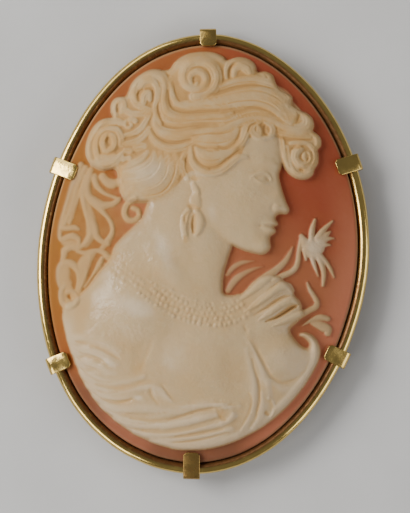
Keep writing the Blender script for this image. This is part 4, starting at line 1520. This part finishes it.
def shell_material():
    """Polished cream over the ground. Places are in millimetres from the oval's middle."""
    f = Finish("carved shell")
    layer, cavity, inwards = f.field("layer"), f.field("cavity"), f.field("inwards")
    tint, hair = f.field("honey"), f.field("hair")
    split = f.node("ShaderNodeSeparateXYZ")
    f.join(f.place(), split.inputs[0])
    cloud = f.drift(8, 3, 8)
    x = f.plus(f.times(split.outputs[0], 1 / MM), cloud)
    y = f.plus(f.times(split.outputs[1], 1 / MM), cloud)
    ground = ground_colour(f, x, y, inwards)
    thick = f.plus(layer, f.drift(1.1, 3, 0.06))
    colour = f.mix(f.span(thick, 0.03, 0.24), ground, carved_colour(f, y, layer, cavity, tint, hair))

    # The worn edge, palest at the right and the top
    pale = f.math("MAXIMUM", f.span(x, 8, 14), f.span(y, -4, 8))
    edge = f.mix(f.span(pale, 0, 1, 0.85, 0.35), shell_settings().cream, ground)
    f.give("Base Color", f.mix(f.span(inwards, 0.06, 0.32), edge, colour))

    rough = f.span(f.noise(1.6, 4), 0.3, 0.7, 0.16, 0.30)
    f.give("Roughness", f.plus(rough, f.times(hair, 0.08)))
    gloss = f.times(f.span(thick, 0.03, 0.4, 0.045, 0.30), f.span(x, -13.5, -11.5, 0.2, 1.0),
                    f.span(cavity, -0.7, -0.15, 0.3, 1.0))
    soft = f.math("MAXIMUM", hair, f.clamped(tint))
    f.give("Specular IOR Level", f.math("SUBTRACT", gloss, f.times(soft, 0.25)))
    f.give("Subsurface Weight", 0.10)
    f.give("Subsurface Radius", (1.0, 0.5, 0.25))
    f.give("Subsurface Scale", 0.2 * MM)
    patches = f.span(f.noise(6, 2), 0.45, 0.65, 0.08, 0.5)
    tooled = f.plus(f.times(f.noise(1.2, 3), 0.8), f.times(f.noise(0.4, 2), patches))
    f.bump(f.times(tooled, f.span(thick, 0.05, 0.5, 0.3, 1.0)), 0.16, 0.7)
    return f.material


def gold_material(name, dull=0.0, beaten=0.04):
    """Polished gold, uneven by the beaten height in millimetres, with a dark film in its corners."""
    s = bpy.context.scene.cameo_setting
    f = Finish(name)
    soiled = tuple((a + b) / 2 for a, b in zip(s.gold, s.dirt))
    colour = f.mix(f.span(f.noise(1.8, 4), 0.42, 0.8, 0.0, 0.5), s.gold, soiled)
    film = f.times(f.field("film"), f.span(f.noise(0.5, 3), 0.2, 0.7, 0.75, 1.05))
    colour = f.mix(f.clamped(film), colour, s.dirt)
    f.give("Base Color", f.mix(f.span(film, 1.1, 2.0), colour, darker(s.dirt, 0.4)))
    f.give("Metallic", f.span(film, 0.3, 1.5, 1.0, 0.45))
    f.give("Specular IOR Level", 0.15)
    rough = f.span(f.noise(0.9, 5), 0.3, 0.75, 0.10 + dull, 0.24 + dull)
    f.give("Roughness", f.plus(rough, f.times(film, 0.12)))
    f.bump(f.plus(f.times(f.noise(0.14, 2), 0.08), f.noise(1.3, 3)), beaten, 0.3)
    return f.material


def floor_material():
    """A pale, dull table top with faint clouds."""
    s = bpy.context.scene.cameo_stage
    f = Finish("pale table")
    f.give("Base Color", f.mix(f.span(f.noise(14, 4), 0.3, 0.7), s.floor, darker(s.floor, 0.94)))
    f.give("Roughness", 0.75)
    return f.material


# The stage

TABLE_HALF = 1.2
# The room's light, and the lamps: degrees round and up, metres away, wide and high, and watts
ROOM_COLOUR = (0.70, 0.70, 0.72, 1)
ROOM_STRENGTH = 0.27
LIGHTS = rows(
    "name direction elevation distance width height power colour",
    ("window", 170, 36, 0.60, 0.34, 0.29, 4.25, (1.0, 0.985, 0.96)),
    ("upper pane", 130, 34, 0.60, 0.36, 0.30, 0.85, (1.0, 0.99, 0.97)),
    ("lower pane", 230, 34, 0.60, 0.34, 0.30, 1.35, (1.0, 0.99, 0.97)),
    ("room", -14, 26, 0.80, 0.70, 0.50, 2.9, (1.0, 1.0, 1.0)))
# What the camera looks at: the oval's middle, and how far it aims beside and below it, in millimetres
MIDDLE = (-0.194, 0, 3.2)
AIM_RIGHT, AIM_DOWN = 0.376, 0.19


def build_floor():
    """The pale table."""
    mesh = bpy.data.meshes.new("table")
    corners = [(x * TABLE_HALF, y * TABLE_HALF, 0) for x, y in ((-1, -1), (1, -1), (1, 1), (-1, 1))]
    mesh.from_pydata(corners, [], [(0, 1, 2, 3)])
    table = bpy.data.objects.new("table", mesh)
    bpy.context.scene.collection.objects.link(table)
    mesh.materials.append(floor_material())


def build_lights():
    """The lamps, which look at the middle of the table, and the room's light."""
    for row in LIGHTS:
        light = bpy.data.lights.new(row.name, "AREA")
        light.shape = "RECTANGLE"
        light.size = row.width
        light.size_y = row.height
        light.energy = row.power
        light.color = row.colour
        lamp = bpy.data.objects.new(row.name, light)
        bpy.context.scene.collection.objects.link(lamp)
        a, e = math.radians(row.direction), math.radians(row.elevation)
        place = Vector((math.cos(a) * math.cos(e), math.sin(a) * math.cos(e), math.sin(e))) * row.distance
        lamp.location = place
        lamp.rotation_euler = (-place).to_track_quat("-Z", "Y").to_euler()
    world = bpy.data.worlds.new("room")
    world.use_nodes = True
    background = world.node_tree.nodes["Background"]
    background.inputs[0].default_value = ROOM_COLOUR
    background.inputs[1].default_value = ROOM_STRENGTH
    bpy.context.scene.world = world


def build_camera():
    """The camera, over the brooch and turned with the carving."""
    s = bpy.context.scene.cameo_stage
    turn = shell_settings().turn
    up = Vector((-math.sin(turn), math.cos(turn), 0))
    right = Vector((math.cos(turn), math.sin(turn), 0))
    target = Vector(MIDDLE) * MM + right * AIM_RIGHT * MM - up * AIM_DOWN * MM
    back = (Vector((0, 0, 1)) * math.sin(s.elevation) - up * math.cos(s.elevation)).normalized()
    camera = bpy.data.cameras.new("photo camera")
    camera.sensor_fit = "AUTO"
    camera.lens = s.lens
    camera.clip_start = 0.01
    eye = bpy.data.objects.new("photo camera", camera)
    bpy.context.scene.collection.objects.link(eye)
    axes = Matrix((right, back.cross(right), back)).transposed().to_4x4()
    eye.matrix_world = Matrix.Translation(target + back * s.distance) @ axes
    bpy.context.scene.camera = eye


# Operators and panel

class CAMEO_OT_shell(bpy.types.Operator):
    """Builds the carved shell"""
    bl_idname = "cameo.shell"
    bl_label = "Carved shell"

    def execute(self, context):
        build_shell()
        return {"FINISHED"}


class CAMEO_OT_setting(bpy.types.Operator):
    """Builds the wire frame, its seat, the claws and the fittings behind it"""
    bl_idname = "cameo.setting"
    bl_label = "Gold setting"

    def execute(self, context):
        gold = gold_material("polished gold")
        dull = gold_material("satin gold", 0.12)
        clawed = gold_material("beaten gold", 0.02, 0.14)
        build_wire(gold)
        build_seat(dull)
        for index, claw in enumerate(CLAWS):
            build_claw(index, claw, clawed)
        build_fittings(dull)
        return {"FINISHED"}


class CAMEO_OT_pin(bpy.types.Operator):
    """Gives the pin its finish"""
    bl_idname = "cameo.pin"
    bl_label = "Pin"

    def execute(self, context):
        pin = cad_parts["pin_stem"]
        pin.data.materials.clear()
        pin.data.materials.append(gold_material("pin gold", 0.1))
        return {"FINISHED"}


class CAMEO_OT_stage(bpy.types.Operator):
    """Builds the table, the lights and the camera"""
    bl_idname = "cameo.stage"
    bl_label = "Stage"

    def execute(self, context):
        build_floor()
        build_lights()
        build_camera()
        return {"FINISHED"}


class CAMEO_PT_panel(bpy.types.Panel):
    bl_label = "Cameo brooch"
    bl_space_type = "VIEW_3D"
    bl_region_type = "UI"
    bl_category = "Cameo"

    def draw(self, context):
        for operator in OPERATORS:
            self.layout.operator(operator.bl_idname)
        for name in ("cameo_shell", "cameo_setting", "cameo_stage"):
            settings = getattr(context.scene, name)
            for key in settings.bl_rna.properties.keys():
                if key not in ("rna_type", "name"):
                    self.layout.prop(settings, key)


OPERATORS = (CAMEO_OT_shell, CAMEO_OT_setting, CAMEO_OT_pin, CAMEO_OT_stage)
CLASSES = (ShellSettings, SettingSettings, StageSettings, *OPERATORS, CAMEO_PT_panel)


def register():
    for cls in CLASSES:
        bpy.utils.register_class(cls)
    bpy.types.Scene.cameo_shell = PointerProperty(type=ShellSettings)
    bpy.types.Scene.cameo_setting = PointerProperty(type=SettingSettings)
    bpy.types.Scene.cameo_stage = PointerProperty(type=StageSettings)


def unregister():
    del bpy.types.Scene.cameo_stage
    del bpy.types.Scene.cameo_setting
    del bpy.types.Scene.cameo_shell
    for cls in reversed(CLASSES):
        bpy.utils.unregister_class(cls)


def main():
    register()
    bpy.ops.cameo.shell()
    bpy.ops.cameo.setting()
    bpy.ops.cameo.pin()
    bpy.ops.cameo.stage()


if __name__ == "__main__":
    main()
